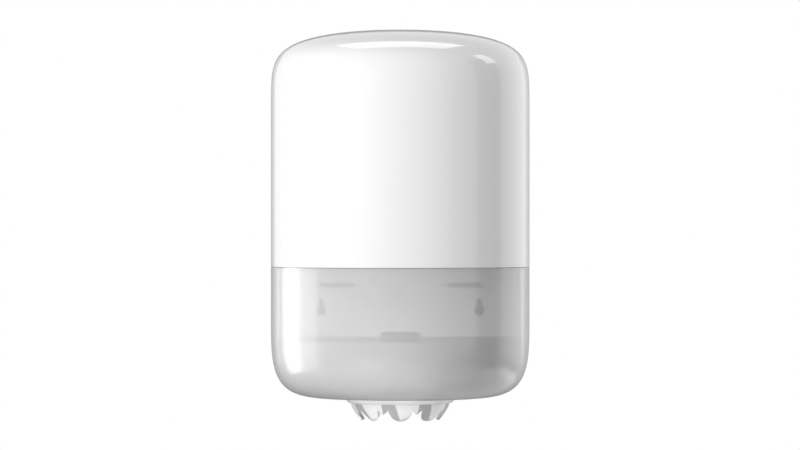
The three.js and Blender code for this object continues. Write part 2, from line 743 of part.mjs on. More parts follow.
// Keyed barrel: a slotted head in the button, a core, and an arm that swings behind the catch's post.
function keyBarrel() {
  const top = buttonTop - seatGap / 2;
  const head = rod('z', barrelHeadRadius, [top - barrelHeadHeight, top], [0, 0]);
  const core = rod('z', barrelRadius, [lockArmTop - lockArmHeight, top - barrelHeadHeight / 2], [0, 0]);
  const arm = blockOf(centred(lockArmWidth), [-lockArmWidth / 2, lockArmLength],
    [lockArmTop - lockArmHeight, lockArmTop]);
  const keySlot = blockOf(centred(keySlotWidth), centred(keySlotLength), [top - keySlotDepth, top + overrun]);
  return geometryOf(cut(joined(head, core, arm), keySlot));
}

// Button spring: an open coil between the housing's floor and the cap.
function buttonSpring() {
  const low = housingBottom + housingFloor + seatGap + springWire / 2;
  const high = capBottom - seatGap - springWire / 2;
  class Coil extends THREE.Curve {
    getPoint(share, target = new THREE.Vector3()) {
      const angle = 2 * Math.PI * springTurns * share;
      const rise = (high - low) * share;
      return target.set(springRadius * Math.cos(angle), springRadius * Math.sin(angle), low + rise);
    }
  }
  const wire = new THREE.Shape();
  wire.absarc(0, 0, springWire / 2, 0, 2 * Math.PI, false);
  const geometry = new THREE.ExtrudeGeometry(wire, {
    steps: springSteps, curveSegments: springCurveSegments, bevelEnabled: false, extrudePath: new Coil(),
  });
  return geometryOf(solidOf(geometry));
}

// Latch lever: a forked front arm under the button, a knuckle on the pin and a hook at the back.
function latchLever() {
  const bottom = leverTop - leverThickness;
  const arm = blockOf(centred(leverWidth), [-leverFront, leverPivot], [bottom, leverTop]);
  const tail = blockOf(centred(leverHookWidth), [leverPivot, leverBack], [bottom, leverTop]);
  const hook = blockOf(centred(leverHookWidth), [leverBack - leverHookThickness, leverBack],
    [hookBottom, leverTop]);
  const knuckle = rod('x', leverKnuckleRadius, centred(leverWidth), [leverPivot, pivotZ]);
  const fork = blockOf(centred(leverSlotWidth), [-leverFront - overrun, barrelRadius + leverFront],
    [bottom - overrun, leverTop + overrun]);
  const bore = rod('x', latchPinRadius + seatGap, centred(leverWidth + 2 * overrun), [leverPivot, pivotZ]);
  return geometryOf(cut(joined(arm, tail, hook, knuckle), fork, bore));
}

// Catch on the back plate: a lip in front of the lever's hook and a post in front of the turned locking arm.
function lockCatch() {
  const back = -plateDepth - seatGap;
  const front = back - catchThickness;
  const shelfBottom = catchShelfTop - catchShelfThickness;
  const lipBack = hookFront - catchPlay;
  const lipFront = lipBack - catchLipThickness;
  const postBack = lockY - lockArmWidth / 2 - catchPostPlay;
  const postFront = postBack - catchPostThickness;
  const side = [catchArmInner, catchArmInner + catchArmWidth];
  const base = blockOf(centred(catchWidth), [front, back], [catchScrewZ - catchBelowScrews, catchShelfTop]);
  const shelf = blockOf(centred(catchShelfWidth), [lipFront, back], [shelfBottom, catchShelfTop]);
  const lip = blockOf(centred(catchShelfWidth), [lipFront, lipBack], [shelfBottom, catchLipTop]);
  const armBeam = blockOf(side, [postFront, back], [shelfBottom, catchShelfTop]);
  const post = blockOf(side, [postFront, postBack], [shelfBottom, catchShelfTop + catchPostHeight]);
  const holes = catchScrewPlaces.map(
    (at) => rod('y', screwShankRadius + seatGap, [front - overrun, back + overrun], at));
  return geometryOf(cut(joined(base, shelf, lip, armBeam, post), ...holes));
}

// A plain pin along X.
function pinGeometry(radius, length) {
  const geometry = new THREE.CylinderGeometry(radius, radius, length, roundSegments);
  geometry.rotateZ(-Math.PI / 2);
  return geometry;
}

// Puts one named mesh in its group.
function place(group, name, geometry, finish, position = [0, 0, 0]) {
  const mesh = new THREE.Mesh(geometry, finish);
  mesh.name = name;
  mesh.position.set(...position);
  group.add(mesh);
  return mesh;
}

const dispenser = new THREE.Group();

const wallSide = new THREE.Group();
dispenser.add(wallSide);
place(wallSide, 'back_plate', backPlate(), finishes.plate);
place(wallSide, 'roll_tray', rollTray(), finishes.tray);
trayScrewPlaces.forEach(([x, z], i) => {
  place(wallSide, `tray_screw_${i + 1}`, screwGeometry(plateScrewLength), finishes.steel,
    [x, trayScrewSeat, z]);
});
place(wallSide, 'lock_catch', lockCatch(), finishes.lock);
catchScrewPlaces.forEach(([x, z], i) => {
  place(wallSide, `catch_screw_${i + 1}`, screwGeometry(plateScrewLength), finishes.steel,
    [x, catchScrewSeat, z]);
});
sides.forEach((side) => {
  const name = side < 0 ? 'hinge_pin_left' : 'hinge_pin_right';
  place(wallSide, name, pinGeometry(hingePinRadius, hingePinLength), finishes.steel,
    [side * lugX, hingeY, hingeZ]);
});

const nozzle = new THREE.Group();
nozzle.position.set(0, axisY, 0);
dispenser.add(nozzle);
place(nozzle, 'nozzle_collar', nozzleCollar(), finishes.gloss);
place(nozzle, 'nozzle_petals', nozzlePetals(), finishes.rubber);
place(nozzle, 'nozzle_ring', nozzleRing(), finishes.tray);

const cover = new THREE.Group();
dispenser.add(cover);
place(cover, 'cover_shell', coverShell(), finishes.gloss);
place(cover, 'cover_band', coverBand(), finishes.smoke);

const lock = new THREE.Group();
lock.position.set(0, lockY, 0);
cover.add(lock);
place(lock, 'lock_housing', lockHousing(), finishes.lock);
sides.forEach((side) => {
  const name = side < 0 ? 'lock_screw_left' : 'lock_screw_right';
  const screw = place(lock, name, screwGeometry(lockScrewLength), finishes.steel,
    [(side * earScrewSpacing) / 2, 0, earTop - earThickness - seatGap]);
  screw.rotation.x = Math.PI / 2;
});
place(lock, 'lock_button', lockButton(), finishes.lock);
place(lock, 'key_barrel', keyBarrel(), finishes.steel);
place(lock, 'button_spring', buttonSpring(), finishes.steel);
place(lock, 'latch_lever', latchLever(), finishes.lock);
place(lock, 'latch_pin', pinGeometry(latchPinRadius, leverWidth + 2 * (runningGap + cheekWidth)),
  finishes.steel, [0, leverPivot, pivotZ]);

export default dispenser;
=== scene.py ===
"""Wall-hung centre-feed wiper dispenser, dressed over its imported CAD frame.

Metres, +Z up, front towards -Y. The wall is the plane y = 0, and z = 0 is the height of the lower wall screws.
"""

import logging
from contextlib import contextmanager
from dataclasses import dataclass
from enum import Enum
from math import acos, asin, atan2, cos, degrees, hypot, inf, pi, radians, sin, tan
from typing import Any, Callable, Iterator, Sequence

import bmesh
import bpy
from mathutils import Matrix, Vector

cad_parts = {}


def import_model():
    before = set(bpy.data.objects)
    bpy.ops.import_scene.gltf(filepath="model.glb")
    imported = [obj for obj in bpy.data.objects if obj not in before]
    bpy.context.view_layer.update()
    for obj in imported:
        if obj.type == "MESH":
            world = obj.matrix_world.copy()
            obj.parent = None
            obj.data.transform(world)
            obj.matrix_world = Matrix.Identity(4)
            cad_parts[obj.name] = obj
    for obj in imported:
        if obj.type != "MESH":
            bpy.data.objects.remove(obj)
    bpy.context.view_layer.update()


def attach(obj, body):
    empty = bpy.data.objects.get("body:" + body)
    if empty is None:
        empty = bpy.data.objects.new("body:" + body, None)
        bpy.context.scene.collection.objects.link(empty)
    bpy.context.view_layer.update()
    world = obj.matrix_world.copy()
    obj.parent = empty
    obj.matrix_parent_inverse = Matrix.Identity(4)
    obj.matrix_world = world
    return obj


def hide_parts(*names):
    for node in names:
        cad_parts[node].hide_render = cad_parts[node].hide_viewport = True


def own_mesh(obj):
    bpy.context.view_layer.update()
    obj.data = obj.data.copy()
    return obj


log = logging.getLogger("dispenser")

Point = tuple[float, float, float]
Flat = tuple[float, float]
Span = tuple[float, float]
Size = tuple[float, float, float]
Colour = tuple[float, float, float]
EdgeTest = Callable[[bmesh.types.BMEdge], bool]

SIDES = (-1, 1)
ORIGIN = (0, 0, 0)
FAR = 0.5
EVERYWHERE = (-FAR, FAR)
WALL_UNIT, COVER = "wall_unit", "cover"
# The name of the attribute that carries how much painted shade the nozzle's colour takes
PAINTED_SHADE = "valley"

# The gap between fitted pieces, the usual rounding of a moulded edge, how far a cutter runs past what it cuts, the
# radius of a bore for a screw, how close two points are welded, and how close they count as level
GAP = 0.0003
EASED = 0.0004
OVERRUN = 0.006
SCREW_BORE = 0.0019
WELD = 1e-6
NEAR = 1e-5

# The least turn of a line's corner that is rounded, and the least angles of edges that are softened or rounded
CORNER = radians(25)
SHARP = radians(35)
KEEN = radians(50)

# How much of its shorter edge a rounded corner may take up, and the steps in the half turn of a D-shaped body
CORNER_SHARE = 0.48
SWEEP_STEPS = 96


class Axis(Enum):
    """A direction of the frame, by its place among the coordinates."""

    X = 0
    Y = 1
    Z = 2

    def point(self, along: float, at: Flat = (0, 0)) -> Point:
        """The point at a place along the axis and a place on the other two, in the order X, Y, Z."""
        return (*at[:self.value], along, *at[self.value:])


class Combine(Enum):
    """How one solid is worked into another."""

    CUT = "DIFFERENCE"
    JOIN = "UNION"


# Lines and tests


def about(middle: float, width: float) -> Span:
    """The range of a width about its middle."""
    return (middle - width / 2, middle + width / 2)


def within_one(share: float) -> float:
    """A number held between 0 and 1."""
    return max(0.0, min(1.0, share))


def softened(line: Sequence[Flat], radius: float, closed: bool = False, steps: int = 3) -> list[Flat]:
    """Rounds the corners of a drawn line.

    Args:
        line: The corners of the line.
        radius: The radius of each rounded corner.
        closed: Whether the last point joins the first.
        steps: The number of edges in one rounded corner.

    Returns:
        The line with arcs in place of the corners that turn by more than 25 degrees.
    """
    made: list[Flat] = []
    for i, corner in enumerate(line):
        if not closed and i in (0, len(line) - 1):
            made.append(corner)
            continue
        before, after = (Vector(line[k % len(line)]) - Vector(corner) for k in (i - 1, i + 1))
        reach = min(before.length, after.length)
        before.normalize()
        after.normalize()
        opening = acos(max(-1.0, min(1.0, before.dot(after))))
        if pi - opening < CORNER:
            made.append(corner)
            continue
        back = min(radius / tan(opening / 2), CORNER_SHARE * reach)
        curve = back * tan(opening / 2)
        middle = Vector(corner) + (before + after).normalized() * (curve / sin(opening / 2))
        start, end = (Vector(corner) + way * back - middle for way in (before, after))
        turn = atan2(start.x * end.y - start.y * end.x, start.dot(end))
        for k in range(steps + 1):
            angle = turn * k / steps
            made.append((
                middle.x + start.x * cos(angle) - start.y * sin(angle),
                middle.y + start.x * sin(angle) + start.y * cos(angle),
            ))
    return made


def arc(centre: Flat, radius: float, start: float, end: float, steps: int) -> list[Flat]:
    """Points on an arc, from one angle to another in degrees, both ends included."""
    angles = [radians(start + (end - start) * k / steps) for k in range(steps + 1)]
    return [(centre[0] + radius * cos(angle), centre[1] + radius * sin(angle)) for angle in angles]


def mirrored(right: Sequence[Flat]) -> list[Flat]:
    """A closed outline from its right half, which runs upwards and may start or end on the middle line."""
    return [*right, *((-x, z) for x, z in reversed(right) if x > WELD)]


def level(axis: Axis, place: float) -> EdgeTest:
    """A test for edges that lie in the plane at a place along an axis."""
    return lambda edge: all(abs(vertex.co[axis.value] - place) < NEAR for vertex in edge.verts)


def round_rim(centre: Flat, radius: float, heights: Span) -> EdgeTest:
    """A test for edges on a circle about an upright axis, within a range of heights."""
    return lambda edge: all(
        abs(hypot(vertex.co.x - centre[0], vertex.co.y - centre[1]) - radius) < 10 * NEAR
        and heights[0] < vertex.co.z < heights[1]
        for vertex in edge.verts
    )


# The bench


class Workpiece:
    """One mesh on the bench, shaped with Blender's own modelling operators.

    Its object stays at the origin, unturned and unscaled, so that its place is in its mesh.
    """

    def __init__(self, obj: bpy.types.Object, name: str) -> None:
        """Takes an object onto the bench under a name."""
        self.obj = obj
        obj.name = obj.data.name = name

    def hold(self) -> None:
        """Makes this piece the only selected one."""
        bpy.ops.object.select_all(action="DESELECT")
        self.obj.select_set(True)
        bpy.context.view_layer.objects.active = self.obj

    @contextmanager
    def editing(self) -> Iterator[None]:
        """Edit mode, entered with the whole mesh selected, for use in a with statement."""
        self.hold()
        bpy.ops.object.mode_set(mode="EDIT")
        bpy.ops.mesh.select_mode(type="VERT")
        bpy.ops.mesh.select_all(action="SELECT")
        yield
        bpy.ops.mesh.select_mode(type="VERT")
        bpy.ops.object.mode_set(mode="OBJECT")

    def pick(self, test: EdgeTest) -> None:
        """Selects only the edges for which the test holds. It is called in edit mode."""
        bpy.ops.mesh.select_all(action="DESELECT")
        bpy.ops.mesh.select_mode(type="EDGE")
        mesh = bmesh.from_edit_mesh(self.obj.data)
        for edge in mesh.edges:
            if test(edge):
                edge.select_set(True)
        mesh.select_flush(True)
        bmesh.update_edit_mesh(self.obj.data)

    @staticmethod
    def face_outwards() -> None:
        """Turns all faces of the mesh in edit mode outwards."""
        bpy.ops.mesh.select_all(action="SELECT")
        bpy.ops.mesh.normals_make_consistent(inside=False)

    def modify(self, kind: str, **settings: Any) -> "Workpiece":
        """Adds a modifier and applies it.

        Args:
            kind: The modifier's type.
            settings: Its settings.

        Returns:
            The piece itself.
        """
        self.hold()
        modifier = self.obj.modifiers.new(kind.lower(), kind)
        for key, value in settings.items():
            setattr(modifier, key, value)
        bpy.ops.object.modifier_apply(modifier=modifier.name)
        return self

    def spin(self, angle: float, steps: int, centre: Flat, copies: bool = False) -> "Workpiece":
        """Spins the whole mesh round an upright axis and welds what meets.

        Args:
            angle: The angle in radians.
            steps: The number of steps.
            centre: The place of the axis in X and Y.
            copies: Whether separate copies are made in place of a swept skin.

        Returns:
            The piece itself.
        """
        with self.editing():
            bpy.ops.mesh.spin(steps=steps, angle=angle, center=(*centre, 0), axis=(0, 0, 1), dupli=copies)
            bpy.ops.mesh.select_all(action="SELECT")
            bpy.ops.mesh.remove_doubles(threshold=WELD)
            self.face_outwards()
        return self

    def soften(self, test: EdgeTest, width: float, segments: int = 2) -> "Workpiece":
        """Bevels the sharp edges for which the test holds."""
        with self.editing():
            self.pick(lambda edge: edge.is_manifold and edge.calc_face_angle(0.0) > SHARP and test(edge))
            bpy.ops.mesh.bevel(offset=width, segments=segments, affect="EDGES", clamp_overlap=True)
        return self

    def round_edges(self, width: float = EASED) -> "Workpiece":
        """Rounds every edge that is sharper than 50 degrees."""
        return self.modify(
            "BEVEL", width=width, segments=2, limit_method="ANGLE", angle_limit=KEEN,
            use_clamp_overlap=False, miter_outer="MITER_ARC",
        )

    def join(self, *others: "Workpiece") -> "Workpiece":
        """Joins other solids to this one and uses them up."""
        return self.work(Combine.JOIN, others)

    def cut(self, *others: "Workpiece") -> "Workpiece":
        """Cuts other solids out of this one and uses them up."""
        return self.work(Combine.CUT, others)

    def work(self, how: Combine, others: Sequence["Workpiece"]) -> "Workpiece":
        """Works other solids into this one, one by one, and closes the hairline cracks that this can leave.

        Args:
            how: Whether the others are cut away or joined.
            others: The other pieces, which are used up.

        Returns:
            The piece itself.
        """
        for other in others:
            self.modify("BOOLEAN", operation=how.value, object=other.obj, solver="EXACT")
            bpy.data.objects.remove(other.obj)
            with self.editing():
                bpy.ops.mesh.remove_doubles(threshold=5 * WELD)
                bpy.ops.mesh.dissolve_degenerate(threshold=WELD)
                bpy.ops.mesh.select_all(action="DESELECT")
                bpy.ops.mesh.select_mode(type="EDGE")
                bpy.ops.mesh.select_non_manifold(
                    extend=False, use_multi_face=False, use_non_contiguous=False, use_verts=False
                )
                bpy.ops.mesh.fill_holes(sides=0)
        return self

    def shift(self, offset: Point) -> "Workpiece":
        """Moves the mesh, and leaves its object at the origin."""
        with self.editing():
            bpy.ops.transform.translate(value=offset)
        return self

    def turn(self, angle: float, axis: Axis) -> "Workpiece":
        """Turns the mesh about an axis of the frame, by the right-hand rule."""
        with self.editing():
            bpy.ops.transform.rotate(value=-angle, orient_axis=axis.name, center_override=ORIGIN)
        return self

    def copy(self, name: str) -> "Workpiece":
        """A copy with its own mesh."""
        self.hold()
        bpy.ops.object.duplicate(linked=False)
        return Workpiece(bpy.context.active_object, name)

    def dress(
        self, finish: "Finish", body: str, *nodes: str, smooth: float = 32, level_faces: bool = True
    ) -> bpy.types.Object:
        """Smooths and colours the finished piece and hands it to its body.

        Args:
            finish: The finish of the piece.
            body: The CAD body that it rides on.
            nodes: The CAD nodes that it stands for.
            smooth: The angle in degrees above which an edge stays sharp.
            level_faces: Whether large faces keep their shading even up to the rounded holes in them.

        Returns:
            The finished object.
        """
        self.hold()
        bpy.ops.object.shade_smooth_by_angle(angle=radians(smooth))
        if level_faces:
            self.modify("WEIGHTED_NORMAL", keep_sharp=True, weight=50)
        self.obj.data.materials.clear()
        self.obj.data.materials.append(finish.material())
        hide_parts(*nodes)
        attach(self.obj, body)
        log.info("%s: %d faces in %s", self.obj.name, len(self.obj.data.polygons), finish.slot)
        return self.obj


def primitive(add: Callable[..., set[str]], name: str, **sizes: Any) -> Workpiece:
    """A new primitive at the origin, which is then the only thing selected.

    Args:
        add: Blender's operator for it.
        name: The name of the piece.
        sizes: What the operator is told of its size.

    Returns:
        The piece.
    """
    bpy.ops.object.select_all(action="DESELECT")
    add(location=ORIGIN, **sizes)
    return Workpiece(bpy.context.active_object, name)


def drawn(name: str, points: Sequence[Point], closed: bool = False) -> Workpiece:
    """A chain of edges, drawn by merging a plane to one point and extruding the last point to the next.

    Args:
        name: The name of the piece.
        points: The points of the chain.
        closed: Whether a last edge joins the chain's ends.

    Returns:
        The piece.
    """
    piece = primitive(bpy.ops.mesh.primitive_plane_add, name, size=0.01)
    with piece.editing():
        bpy.ops.mesh.merge(type="CENTER")
    with piece.editing():
        bpy.ops.transform.translate(value=points[0])
        for here, there in zip(points, points[1:]):
            step = tuple(b - a for a, b in zip(here, there))
            bpy.ops.mesh.extrude_vertices_move(TRANSFORM_OT_translate={"value": step})
        if closed:
            mesh = bmesh.from_edit_mesh(piece.obj.data)
            for vertex in mesh.verts:
                vertex.select_set(len(vertex.link_edges) == 1)
            mesh.select_flush(True)
            bmesh.update_edit_mesh(piece.obj.data)
            bpy.ops.mesh.edge_face_add()
    return piece


def block(name: str, x: Span, y: Span, z: Span, rounding: float = 0.0) -> Workpiece:
    """A block from its ranges along X, Y and Z, with rounded edges if asked."""
    piece = primitive(bpy.ops.mesh.primitive_cube_add, name, size=1)
    with piece.editing():
        bpy.ops.transform.resize(value=tuple(b - a for a, b in (x, y, z)))
        bpy.ops.transform.translate(value=tuple((a + b) / 2 for a, b in (x, y, z)))
        if rounding:
            bpy.ops.mesh.bevel(offset=rounding, segments=3, affect="EDGES")
    return piece


def turned(name: str, section: Sequence[Flat], centre: Flat, steps: int = 64) -> Workpiece:
    """A body of revolution about an upright axis.

    Args:
        name: The name of the piece.
        section: Points as (radius, height). It starts and ends on the axis, or else it is a closed loop.
        centre: The place of the axis in X and Y.
        steps: The number of steps in a full turn.

    Returns:
        The piece.
    """
    hollow = min(radius for radius, _ in section) > WELD
    points = [(centre[0] + radius, centre[1], height) for radius, height in section]
    return drawn(name, points, closed=hollow).spin(2 * pi, steps, centre)


def rod(name: str, axis: Axis, radius: float, reach: Span, at: Flat, steps: int = 32) -> Workpiece:
    """A plain rod along X, Y or Z, mostly for cutting a bore.

    Args:
        name: The name of the piece.
        axis: The direction of the rod.
        radius: The radius.
        reach: Where it starts and ends along its axis.
        at: Its place on the other two axes, in the order X, Y, Z.
        steps: The number of sides.

    Returns:
        The piece.
    """
    piece = turned(name, [(0, reach[0]), (radius, reach[0]), (radius, reach[1]), (0, reach[1])], (0, 0), steps)
    if axis is Axis.X:
        piece.turn(pi / 2, Axis.Y)
    elif axis is Axis.Y:
        piece.turn(-pi / 2, Axis.X)
    return piece.shift(axis.point(0, at))


def plate(name: str, outline: Sequence[Flat], axis: Axis, reach: Span) -> Workpiece:
    """A flat plate from its outline, seen along its axis.

    Args:
        name: The name of the piece.
        outline: The corners on the other two axes, in the order X, Y, Z.
        axis: The direction of the plate's thickness.
        reach: Where it starts and ends along that axis.

    Returns:
        The piece.
    """
    piece = drawn(name, [axis.point(reach[0], corner) for corner in outline], closed=True)
    with piece.editing():
        bpy.ops.mesh.edge_face_add()
        bpy.ops.mesh.extrude_region_move(TRANSFORM_OT_translate={"value": axis.point(reach[1] - reach[0])})
        piece.face_outwards()
    return piece


def swept(name: str, section: Sequence[Flat], axis_y: float, rear: Sequence[float]) -> Workpiece:
    """A D-shaped body: a half turn about an upright axis, and both ends run straight back.

    Args:
        name: The name of the piece.
        section: Points as (half width, height), which start and end on the axis.
        axis_y: The place of the axis in Y.
        rear: The places in Y at which the straight sides have a ring, the last one the rear end.

    Returns:
        The piece.
    """
    piece = drawn(name, [(half_width, axis_y, height) for half_width, height in section])
    piece.spin(pi, SWEEP_STEPS, (0, axis_y))
    with piece.editing():
        piece.pick(lambda edge: edge.is_boundary)
        for here, there in zip((axis_y, *rear), rear):
            bpy.ops.mesh.extrude_edges_move(TRANSFORM_OT_translate={"value": (0, there - here, 0)})
        bpy.ops.mesh.edge_face_add()
        piece.face_outwards()
    return piece


# Finishes


def grey(shade: float) -> tuple[float, float, float, float]:
    """A grey with full opacity."""
    return (shade, shade, shade, 1)


@dataclass(frozen=True)
class Value:
    """A socket in shader maths. Each operator on it adds one Math node."""

    nodes: "Nodes"
    socket: Any

    def maths(self, operation: str, *numbers: "Value | float") -> "Value":
        """Adds a Math node on these numbers."""
        return self.nodes.add("ShaderNodeMath", dict(enumerate(numbers)), operation=operation)

    def __add__(self, other: "Value | float") -> "Value":
        """Sum."""
        return self.maths("ADD", self, other)

    def __mul__(self, other: "Value | float") -> "Value":
        """Product."""
        return self.maths("MULTIPLY", self, other)

    def __rsub__(self, other: float) -> "Value":
        """Difference from a plain number."""
        return self.maths("SUBTRACT", other, self)

    __radd__ = __add__
    __rmul__ = __mul__

    def clamped(self) -> "Value":
        """The value held between 0 and 1."""
        return self.nodes.add("ShaderNodeClamp", {0: self})


class Nodes:
    """The node tree of one material or of the world."""

    def __init__(self, owner: bpy.types.Material | bpy.types.World) -> None:
        """Empties the tree of a new material or world."""
        owner.use_nodes = True
        self.owner = owner
        self.tree = owner.node_tree
        self.tree.nodes.clear()

    def add(self, kind: str, inputs: dict[str | int, Any], output: str | int = 0, **settings: Any) -> Value:
        """Adds one node.

        Args:
            kind: The node's type.
            inputs: Values or links for its sockets.
            output: The socket that is handed on.
            settings: Its own settings, which are set first.

        Returns:
            The output as a value.
        """
        node = self.tree.nodes.new(kind)
        for key, value in settings.items():
            setattr(node, key, value)
        for key, value in inputs.items():
            if isinstance(value, Value):
                self.tree.links.new(value.socket, node.inputs[key])
            else:
                node.inputs[key].default_value = value
        return Value(self, node.outputs[output] if len(node.outputs) else None)

    def place(self, scale: Point = (1, 1, 1)) -> Value:
        """The place on the piece, in metres times a scale."""
        return self.add("ShaderNodeMapping", {"Vector": self.add("ShaderNodeTexCoord", {}, "Object"), "Scale": scale})

    def noise(self, grain: float, detail: float = 2, scale: Point = (1, 1, 1), roughness: float = 0.5) -> Value:
        """Soft noise between 0 and 1 with grains of a size in metres."""
        inputs = {"Vector": self.place(scale), "Scale": 1 / grain, "Detail": detail, "Roughness": roughness}
        return self.add("ShaderNodeTexNoise", inputs)

    def bump(self, height: Value, distance: float, **under: Value) -> Value:
        """A Bump node whose full height is a distance in metres, over another one if given as Normal."""
        return self.add("ShaderNodeBump", {"Height": height, "Distance": distance, "Strength": 1.0, **under})

    def blend(self, share: Value, low: Sequence[float], high: Sequence[float]) -> Value:
        """A colour between two colours."""
        return self.add("ShaderNodeMix", {0: share, 6: (*low, 1), 7: (*high, 1)}, 2, data_type="RGBA")

    def glow(self, shade: float) -> Value:
        """An Emission shader of a grey."""
        return self.add("ShaderNodeEmission", {"Color": grey(shade)})

    def clear(self) -> Value:
        """A shader that lets everything through."""
        return self.add("ShaderNodeBsdfTransparent", {})

    def principled(self, colour: Value, roughness: Value, normal: Value, **others: Value | float) -> Value:
        """A Principled shader with these sockets."""
        sockets = {"Base Color": colour, "Roughness": roughness, "Normal": normal, **others}
        return self.add("ShaderNodeBsdfPrincipled", sockets)

    def mixed(self, factor: Value, first: Value, second: Value) -> Value:
        """A mixture of two shaders."""
        return self.add("ShaderNodeMixShader", {0: factor, 1: first, 2: second})

    def seen(self) -> Value:
        """1 for what the camera, a reflection or a see-through piece looks at, and 0 for plain light."""
        camera, glossy, through = (
            self.add("ShaderNodeLightPath", {}, f"Is {ray} Ray") for ray in ("Camera", "Glossy", "Transmission")
        )
        return (camera + glossy + through).clamped()

    def surface(self, shader: Value) -> bpy.types.Material:
        """Joins a shader to the material's output."""
        self.add("ShaderNodeOutputMaterial", {"Surface": shader})
        return self.owner


@dataclass(frozen=True)
class Finish:
    """A finish of the dispenser, named after the record's material slot."""

    slot: str
    colour: Colour

    def shades(self, nodes: Nodes, share: Value, spread: float) -> Value:
        """The finish's colour, from a little darker to a little lighter."""
        low = [channel * (1 - spread) for channel in self.colour]
        return nodes.blend(share, low, [min(1.0, channel * (1 + spread)) for channel in self.colour])

    def material(self) -> bpy.types.Material:
        """The finish's material, made once."""
        name = f"finish_{self.slot}"
        if name not in bpy.data.materials:
            nodes = Nodes(bpy.data.materials.new(name))
            nodes.surface(self.mix(nodes))
        return bpy.data.materials[name]

    def mix(self, nodes: Nodes) -> Value:
        """Builds the finish's shader."""
        raise NotImplementedError


@dataclass(frozen=True)
class GlossPlastic(Finish):
    """Polished moulded plastic: a faint flow in the skin, fine dust-like pits and a few soft rub marks."""

    roughness: float = 0.07
    flow: float = 0.00003
    pits: float = 0.0000012

    def mix(self, nodes: Nodes) -> Value:
        """Builds the gloss."""
        flow = nodes.bump(nodes.noise(0.045, 1, (1, 1, 0.45)), self.flow)
        rub = nodes.noise(0.012, 4, (1, 1, 0.2), 0.6)
        return nodes.principled(
            self.shades(nodes, nodes.noise(0.08), 0.006), self.roughness + 0.05 * rub,
            nodes.bump(nodes.noise(0.0016), self.pits, Normal=flow), IOR=1.5,
        )


@dataclass(frozen=True)
class SmokePlastic(Finish):
    """See-through smoke plastic: a polished skin over a thin haze, darker where the way through it is long."""

    haze: float = 0.30
    edge_haze: float = 0.60
    edge_tint: float = 0.36
    tint: tuple[float, float, float, float] = (0.3, 0.3, 0.305, 1)
    gloss: float = 2.2
    roughness: float = 0.16
    flow: float = 0.00002

    def mix(self, nodes: Nodes) -> Value:
        """Builds the smoke."""
        cloud = nodes.noise(0.03, 3)
        facing = nodes.add("ShaderNodeLayerWeight", {"Blend": 0.5}, "Facing")
        slant = facing * facing
        haze = nodes.principled(
            self.shades(nodes, cloud, 0.01), self.roughness + 0.03 * nodes.noise(0.01, 4),
            nodes.bump(nodes.noise(0.05, 1, (1, 1, 0.45)), self.flow),
            Alpha=self.haze + 0.02 * cloud + self.edge_haze * slant, IOR=self.gloss,
        )
        return nodes.mixed(self.edge_tint * slant, haze, nodes.add("ShaderNodeBsdfTransparent", {"Color": self.tint}))


@dataclass(frozen=True)
class SatinPlastic(Finish):
    """Plastic with the fine spark-eroded grain of an unpolished mould."""

    roughness: float = 0.38
    grain: float = 0.0007
    relief: float = 0.000014

    def mix(self, nodes: Nodes) -> Value:
        """Builds the grain."""
        grain = nodes.add("ShaderNodeTexVoronoi", {"Vector": nodes.place(), "Scale": 1 / self.grain})
        rub = nodes.noise(0.02, 3)
        normal = nodes.bump(grain + 0.5 * nodes.noise(self.grain * 0.5, 3), self.relief)
        return nodes.principled(self.shades(nodes, rub, 0.015), self.roughness + 0.1 * rub, normal, IOR=1.47)


@dataclass(frozen=True)
class SoftPlastic(Finish):
    """Soft rubbery plastic of the nozzle, silky, with painted shade in the flutes' valleys."""

    roughness: float = 0.26
    # The grey of the painted shade
    painted_shade_colour: Colour = (0.35, 0.35, 0.355)
    relief: float = 0.00001

    def mix(self, nodes: Nodes) -> Value:
        """Builds the soft plastic."""
        skin = nodes.noise(0.002, 3)
        # Painted shade: the colour turns to the darker grey where the attribute marks the flutes' valleys and the
        # tongues' crescents
        valley = nodes.add("ShaderNodeAttribute", {}, "Fac", attribute_name=PAINTED_SHADE)
        colour = nodes.blend(valley.clamped() * 0.97 + 0.03 * nodes.noise(0.02), self.colour, self.painted_shade_colour)
        return nodes.principled(colour, self.roughness + 0.08 * skin, nodes.bump(skin, self.relief), IOR=1.45)


@dataclass(frozen=True)
class PlatedSteel(Finish):
    """Bright zinc-plated steel with fine draw marks and a light bloom."""

    roughness: float = 0.22
    relief: float = 0.000004

    def mix(self, nodes: Nodes) -> Value:
        """Builds the plating."""
        marks = nodes.noise(0.0004, 2, (1, 1, 6))
        bloom = nodes.noise(0.004, 3)
        roughness = self.roughness + 0.16 * bloom + 0.06 * marks
        return nodes.principled(
            self.shades(nodes, bloom, 0.06), roughness, nodes.bump(marks, self.relief), Metallic=1.0
        )


WHITE = GlossPlastic("cover_white", (0.80, 0.80, 0.80))
SMOKE = SmokePlastic("cover_smoke", (0.95, 0.95, 0.955))
PLATE = SatinPlastic("plate_white", (0.87, 0.87, 0.87))
TRAY = SatinPlastic("tray_grey", (0.26, 0.26, 0.265), 0.34, 0.0006)
COLLAR = GlossPlastic("collar_white", (0.84, 0.84, 0.84), 0.12, 0.00001)
NOZZLE = SoftPlastic("nozzle_soft", (0.77, 0.77, 0.77))
LOCK = SatinPlastic("lock_grey", (0.60, 0.60, 0.61), 0.36, 0.0005)
BUTTON = GlossPlastic("button_white", (0.74, 0.74, 0.74), 0.10, 0.00001)
STEEL = PlatedSteel("steel", (0.62, 0.63, 0.64))


# Shared form


